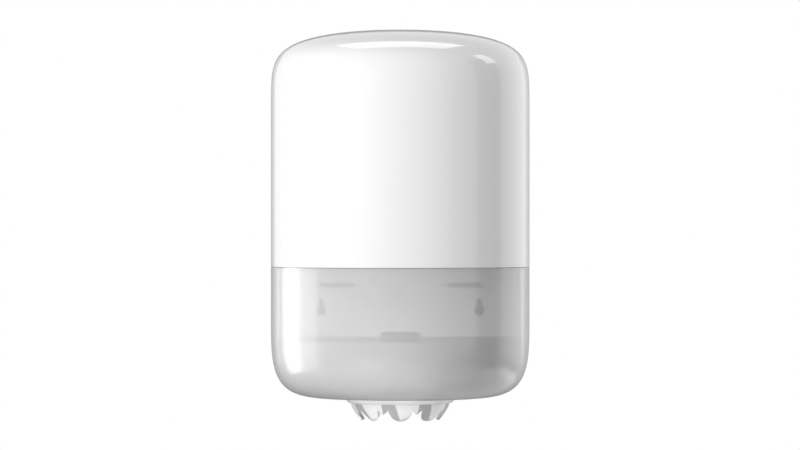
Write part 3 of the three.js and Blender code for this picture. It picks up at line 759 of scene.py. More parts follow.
@dataclass(frozen=True)
class Quarter:
    """One quarter of the cover's silhouette, from its widest height to a pole."""

    rise: float
    spring: float
    way: int
    side_power: float
    rise_power: float

    def at(self, half_width: float, turn: float) -> tuple[Flat, Flat]:
        """A point of the quarter and its outward normal.

        Args:
            half_width: The cover's half width.
            turn: 0 at the widest height, a right angle at the pole.

        Returns:
            The point and the normal.
        """
        pole = turn > pi / 2 - 1e-6
        x = 0.0 if pole else cos(turn) ** (2 / self.side_power)
        h = 1.0 if pole else sin(turn) ** (2 / self.rise_power)
        across = self.side_power / half_width * x ** (self.side_power - 1)
        along = self.way * self.rise_power / self.rise * h ** (self.rise_power - 1)
        length = hypot(across, along)
        return (half_width * x, self.spring + self.way * self.rise * h), (across / length, along / length)


@dataclass(frozen=True)
class Form:
    """The outer form that the cover, the plate and the tray follow, and the places that they share."""

    half_width: float = 0.1195
    depth: float = 0.227
    top: float = 0.2517
    bottom: float = -0.0884
    dome: Quarter = Quarter(0.0922, 0.1595, 1, 2.243, 6.8)
    base: Quarter = Quarter(0.0756, -0.0128, -1, 7.38, 3.7)
    samples: int = 1600
    turn_step: float = 0.04
    chord: float = 0.011
    hinge: Flat = (-0.0095, -0.0798)
    lug_x: float = 0.078
    knuckle: float = 0.0052
    pin_bore: float = 0.0023
    lock_y: float = -0.040
    tray_screws: tuple[Flat, ...] = ((-0.056, -0.046), (-0.056, -0.062), (0.056, -0.046), (0.056, -0.062))
    catch_screws: tuple[Flat, ...] = ((-0.017, 0.20785), (0.017, 0.20785))

    @property
    def axis_y(self) -> float:
        """The place of the upright axis of the round front."""
        return self.half_width - self.depth

    def quarter(self, shape: Quarter) -> list[tuple[Flat, Flat]]:
        """Stations of one quarter, from its widest height to its pole, each with its normal."""
        shares = [i / self.samples for i in range(self.samples + 1)]
        fine = [shape.at(self.half_width, pi / 2 * share * share * (3 - 2 * share)) for share in shares]
        kept = [fine[0]]
        for station in fine[1:]:
            (point, normal), (last, last_normal) = station, kept[-1]
            bend = acos(min(1.0, normal[0] * last_normal[0] + normal[1] * last_normal[1]))
            if bend > self.turn_step or hypot(point[0] - last[0], point[1] - last[1]) > self.chord:
                kept.append(station)
        if kept[-1] is not fine[-1]:
            kept.append(fine[-1])
        return kept

    def side(self, inset: float, low: float | None = None, high: float | None = None) -> list[Flat]:
        """The right half of the silhouette, moved inwards, from the floor's pole up to the dome's.

        Args:
            inset: How far it is moved inwards.
            low: The height that it is cut off at from below.
            high: The height that it is cut off at from above.

        Returns:
            Points as (half width, height).
        """
        stations = [*reversed(self.quarter(self.base)), *self.quarter(self.dome)]
        line = [(x - inset * nx, z - inset * nz) for (x, z), (nx, nz) in stations]
        for limit, way in ((low, 1), (high, -1)):
            if limit is None:
                continue
            kept: list[Flat] = []
            for (x0, z0), (x1, z1) in zip(line, line[1:]):
                inside = [(z - limit) * way >= 0 for z in (z0, z1)]
                crossing = (x0 + (x1 - x0) * (limit - z0) / (z1 - z0), limit) if inside[0] != inside[1] else None
                kept += [(x0, z0)] * inside[0] + ([crossing] if crossing else [])
            if (line[-1][1] - limit) * way >= 0:
                kept.append(line[-1])
            line = kept
        return line


# Sub-assemblies


@dataclass
class Cover:
    """The hinged cover: an opaque dome over a see-through band with a floor, a lip and two hinge lugs."""

    form: Form
    wall: float = 0.0025
    to_wall: float = 0.002
    rings: tuple[float, ...] = (-0.085, -0.056, -0.028, -0.012)
    seam: float = 0.0332
    edge_round: float = 0.0003
    lap_top: float = 0.0412
    lap_root: float = 0.0307
    lap_wall: float = 0.0012
    lap_rear: float = -0.015
    notch_shift: float = 0.0015
    notch_width: float = 0.0049
    notch_top: float = 0.06
    opening: float = 0.0522
    relief_y: float = -0.0165
    relief_z: float = -0.0659
    lug_width: float = 0.008
    lug_reach: float = 0.020
    lug_bore: float = 0.02
    foot_top: float = 0.0002
    foot_rear: float = 0.002
    button_hole: float = 0.00905
    boss_x: float = 0.019
    boss_radius: float = 0.0038
    boss_bottom: float = 0.2462
    boss_root: float = 0.0012

    def moulded(self, name: str, section: list[Flat]) -> Workpiece:
        """One half of the cover from its section, open towards the wall."""
        return swept(name, softened(section, self.edge_round), self.form.axis_y, (*self.rings, -self.to_wall))

    def shell(self) -> Workpiece:
        """The opaque upper part, with the button's hole and two bosses for the lock's screws."""
        form, ceiling = self.form, self.form.top - self.wall
        outer = reversed(form.side(0, low=self.seam))
        shell = self.moulded("cover_shell_moulding", [*outer, *form.side(self.wall, low=self.seam)])
        places = [(side * self.boss_x, form.lock_y) for side in SIDES]
        root, bore = (self.boss_bottom, ceiling + self.boss_root), (self.boss_bottom - OVERRUN, ceiling)
        shell.join(*(rod("boss", Axis.Z, self.boss_radius, root, place) for place in places))
        centre, through = (0, form.lock_y), (ceiling - OVERRUN, form.top + OVERRUN)
        shell.cut(
            *(rod("bore", Axis.Z, SCREW_BORE, bore, place) for place in places),
            rod("hole", Axis.Z, self.button_hole, through, centre, 72),
        )
        hole = round_rim(centre, self.button_hole, (form.top - self.wall / 2, inf))
        rear = level(Axis.Y, -self.to_wall)
        return shell.soften(lambda edge: hole(edge) or rear(edge), EASED)

    def lug(self, side: int) -> Workpiece:
        """One hinge lug: a knuckle on the hinge line and a foot that runs into the cover's floor."""
        form = self.form
        (y, z), radius, floor = form.hinge, form.knuckle, form.bottom + self.wall
        middle = side * form.lug_x
        reach = about(middle, self.lug_width)
        foot = plate("foot", [
            (y, z + radius),
            (y - self.lug_reach, floor + self.foot_top),
            (y - self.lug_reach, floor - self.wall / 2),
            (y - self.lug_reach / 3, form.bottom + self.wall / 2),
            (y - self.foot_rear, z - radius + self.wall / 4),
        ], Axis.X, reach)
        knuckle = rod("knuckle", Axis.X, radius, reach, form.hinge, 40)
        bore = rod("bore", Axis.X, form.pin_bore, about(middle, self.lug_bore), form.hinge)
        return foot.round_edges(GAP).join(knuckle.round_edges(GAP)).cut(bore)

    def band(self) -> Workpiece:
        """The see-through lower part, with its lip inside the upper part, the nozzle's opening and the lugs."""
        form, edge = self.form, self.seam - GAP
        lip_outer = form.half_width - self.wall - GAP
        lip_inner = lip_outer - self.lap_wall
        band = self.moulded("cover_band_moulding", [
            *form.side(0, high=edge),
            (lip_outer, edge), (lip_outer, self.lap_top), (lip_inner, self.lap_top), (lip_inner, self.lap_root),
            *reversed(form.side(self.wall, high=self.lap_root)),
        ])
        notch_y, notch_z = (self.lap_rear, OVERRUN), (self.lap_root - EASED, self.notch_top)
        centre, through = (0, form.axis_y), (form.bottom - OVERRUN, form.bottom + 2 * OVERRUN)
        band.cut(
            *(
                block("notch", about(side * (lip_inner + self.notch_shift), self.notch_width), notch_y, notch_z)
                for side in SIDES
            ),
            rod("hole", Axis.Z, self.opening, through, centre, 120),
            block("relief", EVERYWHERE, (self.relief_y, FAR), (-FAR, self.relief_z)),
        )
        hole = round_rim(centre, self.opening, (-inf, form.bottom + 2 * self.wall))
        rear = level(Axis.Y, -self.to_wall)
        band.soften(lambda e: hole(e) or rear(e) or self.rims_relief(e), EASED)
        return band.join(*(self.lug(side) for side in SIDES))

    def rims_relief(self, edge: bmesh.types.BMEdge) -> bool:
        """Whether an edge lies on the cut-back at the bottom of the rear."""
        return all(
            v.co.z < self.relief_z + NEAR and abs(v.co.y - self.relief_y) < NEAR
            or v.co.y > self.relief_y and abs(v.co.z - self.relief_z) < NEAR
            for v in edge.verts
        )

    def build(self) -> None:
        """Builds and dresses both parts."""
        self.shell().dress(WHITE, COVER, "cover_shell")
        self.band().dress(SMOKE, COVER, "cover_band")


@dataclass
class WallPlate:
    """The moulded back plate: a panel with a rim to the wall, ribs, pads, bosses and a hinge rail."""

    form: Form
    inset: float = 0.0048
    depth: float = 0.009
    panel: float = 0.003
    rim: float = 0.0025
    front_round: float = 0.0009
    hole_round: float = 0.0005
    margin: float = 0.001
    rail_depth: float = 0.0135
    rail_top: float = -0.0728
    rail_round: float = 0.0006
    rib: float = 0.002
    rib_xs: tuple[float, ...] = (-0.042, 0.042)
    rib_zs: tuple[float, ...] = (0.040, 0.110, 0.200)
    wall_pad: Flat = (0.034, 0.024)
    key_x: float = 0.075
    key_seats: tuple[float, ...] = (0.0, 0.160)
    key_drop: float = 0.009
    key_slot: float = 0.005
    key_entry: float = 0.005
    key_pad: float = 0.0105
    slot_x: float = 0.06055
    slot_z: float = 0.0149
    slot_length: float = 0.0336
    slot_height: float = 0.005
    window_width: float = 0.0377
    window_top: float = -0.0293
    window_sill: float = -0.0523
    window_corner: float = 0.004
    lug_notch: float = 0.009
    lug_gap: float = 0.0005
    pin_reach: float = 0.0246
    tray_boss_front: float = -0.0162
    boss_radius: float = 0.0046
    through: Span = (-0.03, OVERRUN)
    tray_bore: Span = (-0.03, -0.0095)
    catch_bore: Span = (-0.03, -0.003)

    def silhouette(self, inset: float, high: float | None = None) -> list[Flat]:
        """The plate's outline at an inset from the cover's outer face."""
        return mirrored(self.form.side(inset, high=high))

    @property
    def key_places(self) -> list[Flat]:
        """Where the slots of the keyholes are seated."""
        return [(side * self.key_x, seat) for seat in self.key_seats for side in SIDES]

    def keyhole(self, x: float, seat: float) -> list[Flat]:
        """A keyhole's outline: a round entry below a narrow slot."""
        half = self.key_slot / 2
        opening = degrees(asin(half / self.key_entry))
        entry = arc((x, seat - self.key_drop), self.key_entry, 90 + opening, 450 - opening, 32)
        return [*arc((x, seat), half, 0, 180, 16), *entry]

    def slot(self, x: float) -> list[Flat]:
        """A level slot with round ends."""
        half = self.slot_height / 2
        reach = self.slot_length / 2 - half
        return [*arc((x + reach, self.slot_z), half, -90, 90, 16), *arc((x - reach, self.slot_z), half, 90, 270, 16)]

    def window(self) -> list[Flat]:
        """The window for the tray's hook."""
        half, top, corner = self.window_width / 2, self.window_top, self.window_corner
        return [
            (-half, self.window_sill), (half, self.window_sill),
            *arc((half - corner, top - corner), corner, 0, 90, 8),
            *arc((corner - half, top - corner), corner, 90, 180, 8),
        ]

    def panel_with_rim(self) -> Workpiece:
        """The panel, hollow towards the wall, with its rail along the bottom."""
        panel = plate("back_plate_moulding", self.silhouette(self.inset), Axis.Y, (-self.depth, 0))
        pocket = plate("pocket", self.silhouette(self.inset + self.rim), Axis.Y, (self.panel - self.depth, OVERRUN))
        pocket.cut(block("below", EVERYWHERE, EVERYWHERE, (-FAR, self.rail_top)))
        outline = self.silhouette(self.inset, high=self.rail_top)
        rail = plate("rail", outline, Axis.Y, (-self.rail_depth, -self.depth / 2))
        rail.soften(level(Axis.Y, -self.rail_depth), self.rail_round)
        return panel.soften(level(Axis.Y, -self.depth), self.front_round, 3).cut(pocket).join(rail)

    def behind(self) -> list[Workpiece]:
        """The ribs and pads in the pocket, and the bosses."""
        form, inset, front = self.form, self.inset + self.rim / 2, (-self.depth + self.panel / 2, 0.0)
        made = [
            rod("pad", Axis.Y, self.key_pad, front, (x, seat - self.key_drop / 2), 48) for x, seat in self.key_places
        ]
        made.append(block("wall_pad", about(0, self.wall_pad[0]), front, about(0, self.wall_pad[1])))
        for z in self.rib_zs:
            wide = form.side(inset, low=z)[0][0]
            made.append(block("cross_rib", about(0, 2 * wide), front, about(z, self.rib)))
        for x in self.rib_xs:
            top = max(height for wide, height in form.side(inset) if wide > abs(x))
            rib_z = (self.rail_top - self.rim, top)
            made.append(block("upright_rib", about(x, self.rib), (front[0], -GAP), rib_z))
        boss = (self.tray_boss_front, self.panel / 2 - self.depth)
        for place in form.tray_screws:
            made.append(rod("tray_boss", Axis.Y, self.boss_radius, boss, place, 40).round_edges())
        for place in form.catch_screws:
            made.append(rod("catch_boss", Axis.Y, self.boss_radius, front, place, 40))
        return made

    def openings(self) -> list[Workpiece]:
        """Cutters for the keyholes, the level slots, the window, the hinge notches and the bores."""
        form = self.form
        notch_z = (-FAR, form.hinge[1] + form.knuckle + self.lug_gap)
        cutters = [plate("keyhole", self.keyhole(*place), Axis.Y, self.through) for place in self.key_places]
        for side in SIDES:
            lug_x = side * form.lug_x
            cutters += [
                plate("slot", self.slot(side * self.slot_x), Axis.Y, self.through),
                block("notch", about(lug_x, self.lug_notch), self.through, notch_z),
                rod("pin_bore", Axis.X, form.pin_bore, about(lug_x, self.pin_reach), form.hinge),
            ]
        cutters.append(plate("window", self.window(), Axis.Y, self.through))
        for places, reach in ((form.tray_screws, self.tray_bore), (form.catch_screws, self.catch_bore)):
            cutters += [rod("bore", Axis.Y, SCREW_BORE, reach, place, 24) for place in places]
        return cutters

    def rims_opening(self, edge: bmesh.types.BMEdge) -> bool:
        """Whether an edge lies on the front rim of a keyhole, a slot or the window."""
        x, _, z = (edge.verts[0].co + edge.verts[1].co) / 2
        key_low, key_high = -self.key_drop - self.key_entry, self.key_slot / 2
        zones = [
            (self.slot_x, self.slot_length / 2, about(self.slot_z, self.slot_height)),
            (0, self.window_width / 2, (self.window_sill, self.window_top)),
            *((self.key_x, self.key_entry, (seat + key_low, seat + key_high)) for seat in self.key_seats),
        ]
        return level(Axis.Y, -self.depth)(edge) and any(
            abs(abs(x) - middle) < half + self.margin and low - self.margin < z < high + self.margin
            for middle, half, (low, high) in zones
        )

    def build(self) -> None:
        """Builds and dresses the plate."""
        made = self.panel_with_rim().join(*self.behind()).cut(*self.openings())
        made.soften(self.rims_opening, self.hole_round, 3).dress(PLATE, WALL_UNIT, "back_plate")


@dataclass
class RollTray:
    """The bowl that the roll stands on, with ribs, a seat for the nozzle's ring and a hook at the back."""

    form: Form
    inset: float = 0.0065
    wall: float = 0.0022
    rim: float = -0.0338
    rim_round: float = 0.0007
    rear: float = -0.0165
    rear_wall: Span = (-0.022, -0.013)
    ring: float = -0.07
    relief_y: float = -0.034
    relief_z: float = -0.0708
    hole: float = 0.0473
    seat: float = 0.056
    seat_depth: float = 0.0077
    rib_count: int = 8
    rib_reach: Span = (0.058, 0.088)
    rib_top: float = -0.0717
    rib_width: float = 0.002
    rib_round: float = 0.0005
    hook_width: float = 0.028
    hook_y: Span = (-0.0057, -0.003)
    hook_z: Span = (-0.062, -0.0485)
    tab: float = 0.0035
    notch_width: float = 0.038
    notch_low: float = -0.047
    notch_corner: float = 0.003

    @property
    def floor(self) -> float:
        """The height of the upper face of the tray's floor."""
        return self.form.bottom + self.inset + self.wall

    def filled(self, name: str, inset: float, top: float, rear: float, gap: float) -> Workpiece:
        """A filled form of the bowl with the step at its lower rear cut off.

        Args:
            name: The name of the piece.
            inset: How far it lies inside the cover's outer face.
            top: The height of its top.
            rear: The place of its rear in Y.
            gap: How far the step is moved into it.

        Returns:
            The piece.
        """
        section = [*self.form.side(inset, high=self.rim + top), (0, self.rim + top)]
        form = swept(name, section, self.form.axis_y, (self.ring, rear))
        return form.cut(block("step", EVERYWHERE, (self.relief_y - gap, FAR), (-FAR, self.relief_z + gap)))

    def bowl(self) -> Workpiece:
        """The hollowed bowl with its hole, seat, screw holes and the notch in its rear wall."""
        inside = self.filled("inside", self.inset + self.wall, OVERRUN, self.rear - self.wall, self.wall)
        bowl = self.filled("roll_tray_moulding", self.inset, 0, self.rear, 0).cut(inside)
        centre, half, high = (0, self.form.axis_y), self.notch_width / 2, self.rim + OVERRUN
        corners = [(half, high), (-half, high), (-half, self.notch_low), (half, self.notch_low)]
        notch = softened(corners, self.notch_corner, closed=True, steps=5)
        bowl.cut(
            plate("notch", notch, Axis.Y, self.rear_wall),
            rod("seat", Axis.Z, self.seat, (self.floor, self.floor + self.seat_depth), centre, 96),
            rod("hole", Axis.Z, self.hole, (self.form.bottom - OVERRUN, self.floor + OVERRUN), centre, 96),
            *(rod("screw_hole", Axis.Y, SCREW_BORE, self.rear_wall, place, 24) for place in self.form.tray_screws),
        )
        return bowl.soften(level(Axis.Z, self.rim), self.rim_round, 3)

    def ribs(self) -> Workpiece:
        """The ribs on the tray's floor, one modelled and the others spun from it."""
        rib_z = (self.floor - self.wall / 2, self.rib_top)
        rib = block("ribs", self.rib_reach, about(0, self.rib_width), rib_z)
        rib.soften(level(Axis.Z, self.rib_top), self.rib_round)
        rib.turn(pi / self.rib_count, Axis.Z).shift((0, self.form.axis_y, 0))
        others = self.rib_count - 1
        return rib.spin(2 * pi * others / self.rib_count, others, (0, self.form.axis_y), copies=True)

    def hook(self) -> Workpiece:
        """The tab and leg that drop into the plate's window."""
        across, high = about(0, self.hook_width), self.hook_z[1]
        tab = block("hook", across, (self.rear - self.wall / 2, self.hook_y[1]), (high - self.tab, high))
        return tab.join(block("leg", across, self.hook_y, self.hook_z)).round_edges()

    def build(self) -> None:
        """Builds and dresses the tray."""
        self.bowl().join(self.ribs(), self.hook()).dress(TRAY, WALL_UNIT, "roll_tray")


@dataclass
class Nozzle:
    """The nozzle under the tray: a rigid collar, a soft fluted nozzle and a retaining ring."""

    form: Form
    collar: float = 0.0498
    collar_bottom: float = -0.0925
    collar_round: float = 0.0039
    bore: float = 0.045
    bore_round: float = 0.0005
    shoulder: float = -0.0822
    neck: float = 0.047
    neck_top: float = -0.072
    groove: float = 0.0004
    pitch: float = 0.0018
    grooves: int = 4
    first_groove: float = 0.0025
    petals: int = 8
    drop: float = 0.0159
    arch_drop: float = 0.0055
    tooth_drop: float = 0.0096
    ridge: Span = (0.0457, 0.036)
    bend: float = 1.35
    flute: Span = (0.0014, 0.0032)
    flank: Span = (-0.14, 0.0)
    crest: float = 0.17
    crown: float = 0.22
    valley_power: float = 0.8
    arch: float = 0.34
    roundness: float = 2.3
    sharpness: float = 1.05
    wall: float = 0.0016
    lip: float = 0.0004
    rows: int = 12
    edge_steps: tuple[int, int] = (8, 20)
    # The painted shade: the length of its crescent towards each tongue's tip, its strength, its fade across the
    # tongue, and the softness of its edge
    crescent: float = 0.18
    crescent_shade: float = 0.8
    crescent_ends: Flat = (1.4, 3)
    border: float = 0.05
    flange_z: Span = (-0.0717, -0.0702)
    flange_rounds: Flat = (0.0002, 0.0003)
    ring_radii: Span = (0.0473, 0.054)
    ring_z: Span = (-0.0794, -0.0754)
    grips: int = 12
    grip: float = 0.0024
    grip_depth: float = 0.0016

    @property
    def centre(self) -> Flat:
        """The nozzle's axis."""
        return (0, self.form.axis_y)

    def build_collar(self) -> None:
        """Turns the collar from its section, with thread grooves on its neck, and dresses it."""
        edge, low, top, root = self.collar_round, self.collar_bottom, self.neck_top, self.neck - self.groove
        bend = arc((self.collar - edge, low + edge), edge, -90, 0, 14)
        thread: list[Flat] = []
        for k in range(self.grooves):
            z = self.shoulder + self.first_groove + k * self.pitch
            thread += [
                (self.neck, z), (root, z + 0.25 * self.pitch), (root, z + 0.4 * self.pitch),
                (self.neck, z + 0.65 * self.pitch),
            ]
        lower = softened([(self.bore, top), (self.bore, low), bend[0]], self.bore_round)
        section = [
            *lower, *bend[1:],
            (self.collar, self.shoulder - self.bore_round), (self.collar - self.bore_round, self.shoulder),
            (self.neck, self.shoulder), *thread, (self.neck, top - EASED), (self.neck - EASED, top),
        ]
        turned("nozzle_collar_ring", section, self.centre, 144).dress(COLLAR, WALL_UNIT, "nozzle_collar")

    def flank_at(self, down: float) -> float:
        """The place across the flute where its lobe starts, which leans to the right towards the tip."""
        return self.flank[0] + (self.flank[1] - self.flank[0]) * within_one(down)

    def flute_share(self, share: float, down: float) -> float:
        """How far a flute lies below its crest, from 0 on the rounded lobe to about 1 in the valley left of it.

        Args:
            share: The place across the flute, from -0.5 to 0.5.
            down: The place along the flute, 0 under the collar and 1 at the tongue's tip.

        Returns:
            The share of the flute's depth.
        """
        flank = self.flank_at(down)
        lobe = self.crown * ((max(share, flank) - self.crest) / (0.5 - self.crest)) ** 2
        if share >= flank:
            return lobe
        across = (share + 0.5) / (flank + 0.5)
        return self.crown + (lobe - self.crown) * across + (1 - self.crown) * sin(pi * across) ** self.valley_power

    def edge_drop(self, share: float) -> float:
        """How far the edge hangs below the collar at a place across one flute."""
        across = abs(share) / self.arch
        if across < 1:
            tongue = (1 - across ** self.roundness) ** (1 / self.roundness)
            return self.arch_drop + (self.drop - self.arch_drop) * tongue
        tooth = (abs(share) - self.arch) / (0.5 - self.arch)
        return self.arch_drop + (self.tooth_drop - self.arch_drop) * tooth ** self.sharpness

    def painted_shade_share(self, share: float, down: float) -> float:
        """How much painted shade the outer face takes, from 0 to 1 and beyond, so that its border stays a clean line
        between points.

        Args:
            share: The place across the flute, from -0.5 to 0.5.
            down: The place along the flute, 0 under the collar and 1 at the tongue's tip.

        Returns:
            The painted shade, which grows left of the lobe's flank and, as a crescent, towards the tongue's tip.
        """
        if share <= -0.5:
            return -1.0
        valley = (self.flank_at(down) - share) / self.border + 0.5
        tip = (down - self.edge_drop(share) / self.drop) / self.crescent + 1
        full, fade = self.crescent_ends
        return max(valley, self.crescent_shade * tip * within_one(full - fade * abs(share)))

    def columns(self) -> list[float]:
        """Places across one flute, closest together where the edge turns most."""
        teeth, tongues = self.edge_steps
        tooth = [0.5 - (0.5 - self.arch) * k / teeth for k in range(teeth)]
        tongue = [self.arch * sin(pi / 2 * (1 - k / tongues)) for k in range(tongues)]
        right = [*tooth, *tongue, 0.0]
        return [-share for share in right[:-1]] + right[::-1]

    def skin(self, share: float, depth: float, wall: float) -> Flat:
        """A point of the nozzle's skin.

        Args:
            share: The place across the flute, from -0.5 to 0.5.
            depth: How far it lies below the collar.
            wall: How far it lies inside the outer face.

        Returns:
            The point as (radius, height).
        """
        down = depth / self.drop
        flute = self.flute[0] + (self.flute[1] - self.flute[0]) * down
        ridge = self.ridge[0] + (self.ridge[1] - self.ridge[0]) * max(0.0, down) ** self.bend
        return (ridge - flute * self.flute_share(share, down) - wall, self.collar_bottom - GAP - depth)

    def loop(self, share: float) -> list[Flat]:
        """The section of the soft nozzle at a place across a flute, as a loop of (radius, height).

        Args:
            share: The place, from -0.5 on one ridge to 0.5 on the next.

        Returns:
            The outer face downwards, the rounded edge, the inner face upwards, the neck and its flange.
        """
        top, drop, lip = self.collar_bottom - GAP, self.edge_drop(share) - GAP, self.lip
        outer = [self.skin(share, (drop - lip) * k / self.rows, 0) for k in range(self.rows + 1)]
        inner = [self.skin(share, (drop - lip) * k / self.rows, self.wall) for k in range(self.rows, -1, -1)]
        edge = []
        for k in (1, 2, 3, 4, 4, 3, 2, 1):
            turn, side = pi / 2 * k / 4, len(edge) > 3
            inward = lip * (1 - cos(turn))
            edge.append(self.skin(share, drop - lip * (1 - sin(turn)), self.wall - inward if side else inward))
        outside, inside, neck = self.bore - GAP, self.bore - GAP - self.wall, self.neck
        (low, high), (lower, upper) = self.flange_z, self.flange_rounds
        back = [
            (inside, top + GAP), (inside, (top + high) / 2), (inside, high - upper), (inside + upper, high),
            (neck - upper, high), (neck, high - upper), (neck, low + lower), (neck - lower, low),
            (outside, low), (outside, (top + low) / 2), (outside, top),
        ]
        return [*outer, *edge, *inner, *back]

    def build_petals(self) -> None:
        """Shapes one flute from a grid, spins the others from it, and dresses the soft nozzle."""
        shares = self.columns()
        loops = [self.loop(share) for share in shares]
        across, around = len(shares) - 1, len(loops[0])
        petals = primitive(
            bpy.ops.mesh.primitive_grid_add, "nozzle_petals_moulding",
            x_subdivisions=across, y_subdivisions=around, size=1,
        )
        # How much painted shade each point's colour takes, kept in an attribute that the nozzle's material reads
        grey = petals.obj.data.attributes.new(PAINTED_SHADE, "FLOAT", "POINT")
        for vertex in petals.obj.data.vertices:
            column = round((vertex.co.x + 0.5) * across)
            row = round((vertex.co.y + 0.5) * around) % around
            radius, height = loops[column][row]
            down = (self.collar_bottom - height) / self.drop
            grey.data[vertex.index].value = self.painted_shade_share(shares[column], down) if row < self.rows + 3 else -1.0
            angle = 2 * pi * shares[column] / self.petals
            vertex.co = (radius * sin(angle), self.form.axis_y - radius * cos(angle), height)
        with petals.editing():
            bpy.ops.mesh.remove_doubles(threshold=WELD)
        petals.spin(2 * pi, self.petals, self.centre, copies=True)
        petals.dress(NOZZLE, WALL_UNIT, "nozzle_petals", smooth=38, level_faces=False)

    def build_ring(self) -> None:
        """Turns the retaining ring, cuts its finger grips and dresses it."""
        (inner, outer), (low, high) = self.ring_radii, self.ring_z
        section = [(inner, low), (outer, low), (outer, high), (inner, high)]
        ring = turned("nozzle_ring_nut", section, self.centre, 120)
        reach = outer + self.grip - self.grip_depth
        for k in range(self.grips):
            angle = 2 * pi * k / self.grips
            place = (reach * sin(angle), self.form.axis_y + reach * cos(angle))
            ring.cut(rod("grip", Axis.Z, self.grip, (low - OVERRUN, high + OVERRUN), place, 24))
        ring.round_edges().dress(TRAY, WALL_UNIT, "nozzle_ring")

    def build(self) -> None:
        """Builds the three pieces."""
        self.build_collar()
        self.build_petals()
        self.build_ring()


@dataclass
class Fasteners:
    """The screws and pins, one modelled for each pattern and copied."""

    shank: float = 0.0016
    core: float = 0.8
    first_turn: float = 0.0006
    point: float = 0.0009
    head: float = 0.0033
    head_height: float = 0.0022
    head_round: float = 0.0002
    recess: float = 0.0015
    recess_depth: float = 0.0011
    recess_round: float = 0.00015
    pitch: float = 0.0008
    length: float = 0.009
    lock_length: float = 0.0058
    lock_ear: float = 0.003
    catch: float = 0.0027
    hinge_pin: Flat = (0.002, 0.024)

    def screw(self, name: str, length: float) -> Workpiece:
        """A threaded screw that points up from a seat at the origin.

        Args:
            name: The name of the piece.
            length: The length below its head.

        Returns:
            The screw, its head below z = 0.
        """
        thread: list[Flat] = []
        root, z = self.shank * self.core, self.first_turn
        while z + self.pitch < length - self.point:
            thread += [(self.shank, z), (root, z + self.pitch * 0.3), (root, z + self.pitch * 0.5)]
            z += self.pitch
        head, low, edge = self.head, -self.head_height, self.head_round
        section = [
            (0, low), (head * 0.78, low), (head * 0.93, low * 0.86), (head, low * 0.6), (head, -edge),
            (head - edge, 0), (self.shank, 0), *thread, (self.shank, length - self.point),
            (self.shank * 0.45, length), (0, length),
        ]
        recess = rod("recess", Axis.Z, self.recess, (low - OVERRUN, low + self.recess_depth), (0, 0), 6)
        return turned(name, section, (0, 0), 32).cut(recess).soften(
            lambda e: all(hypot(v.co.x, v.co.y) < self.recess + NEAR and v.co.z < low + NEAR for v in e.verts),
            self.recess_round, 1,
        )

    @staticmethod
    def pin(name: str, radius: float, length: float, at: Point) -> Workpiece:
        """A plain pin along X with chamfered ends."""
        half, chamfer = length / 2, min(EASED, radius / 3)
        section = [
            (0, -half), (radius - chamfer, -half), (radius, chamfer - half), (radius, half - chamfer),
            (radius - chamfer, half), (0, half),
        ]
        return turned(name, section, (0, 0), 32).turn(pi / 2, Axis.Y).shift(at)

    def build(self, form: Form, back: WallPlate, tray: RollTray, cover: Cover) -> None:
        """Builds every screw and hinge pin and dresses it.

        Args:
            form: The places of the screws and of the hinge.
            back: The back plate that the catch is screwed to.
            tray: The tray that is screwed on.
            cover: The cover, whose bosses carry the lock.
        """
        pattern = self.screw("screw_pattern", self.length).turn(-pi / 2, Axis.X)
        tray_seat, catch_seat = tray.rear - tray.wall - GAP, -back.depth - self.catch - 2 * GAP
        for kind, seat, places in (("tray", tray_seat, form.tray_screws), ("catch", catch_seat, form.catch_screws)):
            for i, (x, z) in enumerate(places, 1):
                screw = pattern.copy(f"{kind}_screw_{i}_steel").shift((x, seat, z))
                screw.dress(STEEL, WALL_UNIT, f"{kind}_screw_{i}")
        bpy.data.objects.remove(pattern.obj)
        for side, name in zip(SIDES, ("left", "right")):
            screw = self.screw(f"lock_screw_{name}_steel", self.lock_length)
            screw.shift((side * cover.boss_x, form.lock_y, cover.boss_bottom - 2 * GAP - self.lock_ear))
            screw.dress(STEEL, COVER, f"lock_screw_{name}")
            pin = self.pin(f"hinge_pin_{name}_steel", *self.hinge_pin, (side * form.lug_x, *form.hinge))
            pin.dress(STEEL, WALL_UNIT, f"hinge_pin_{name}")


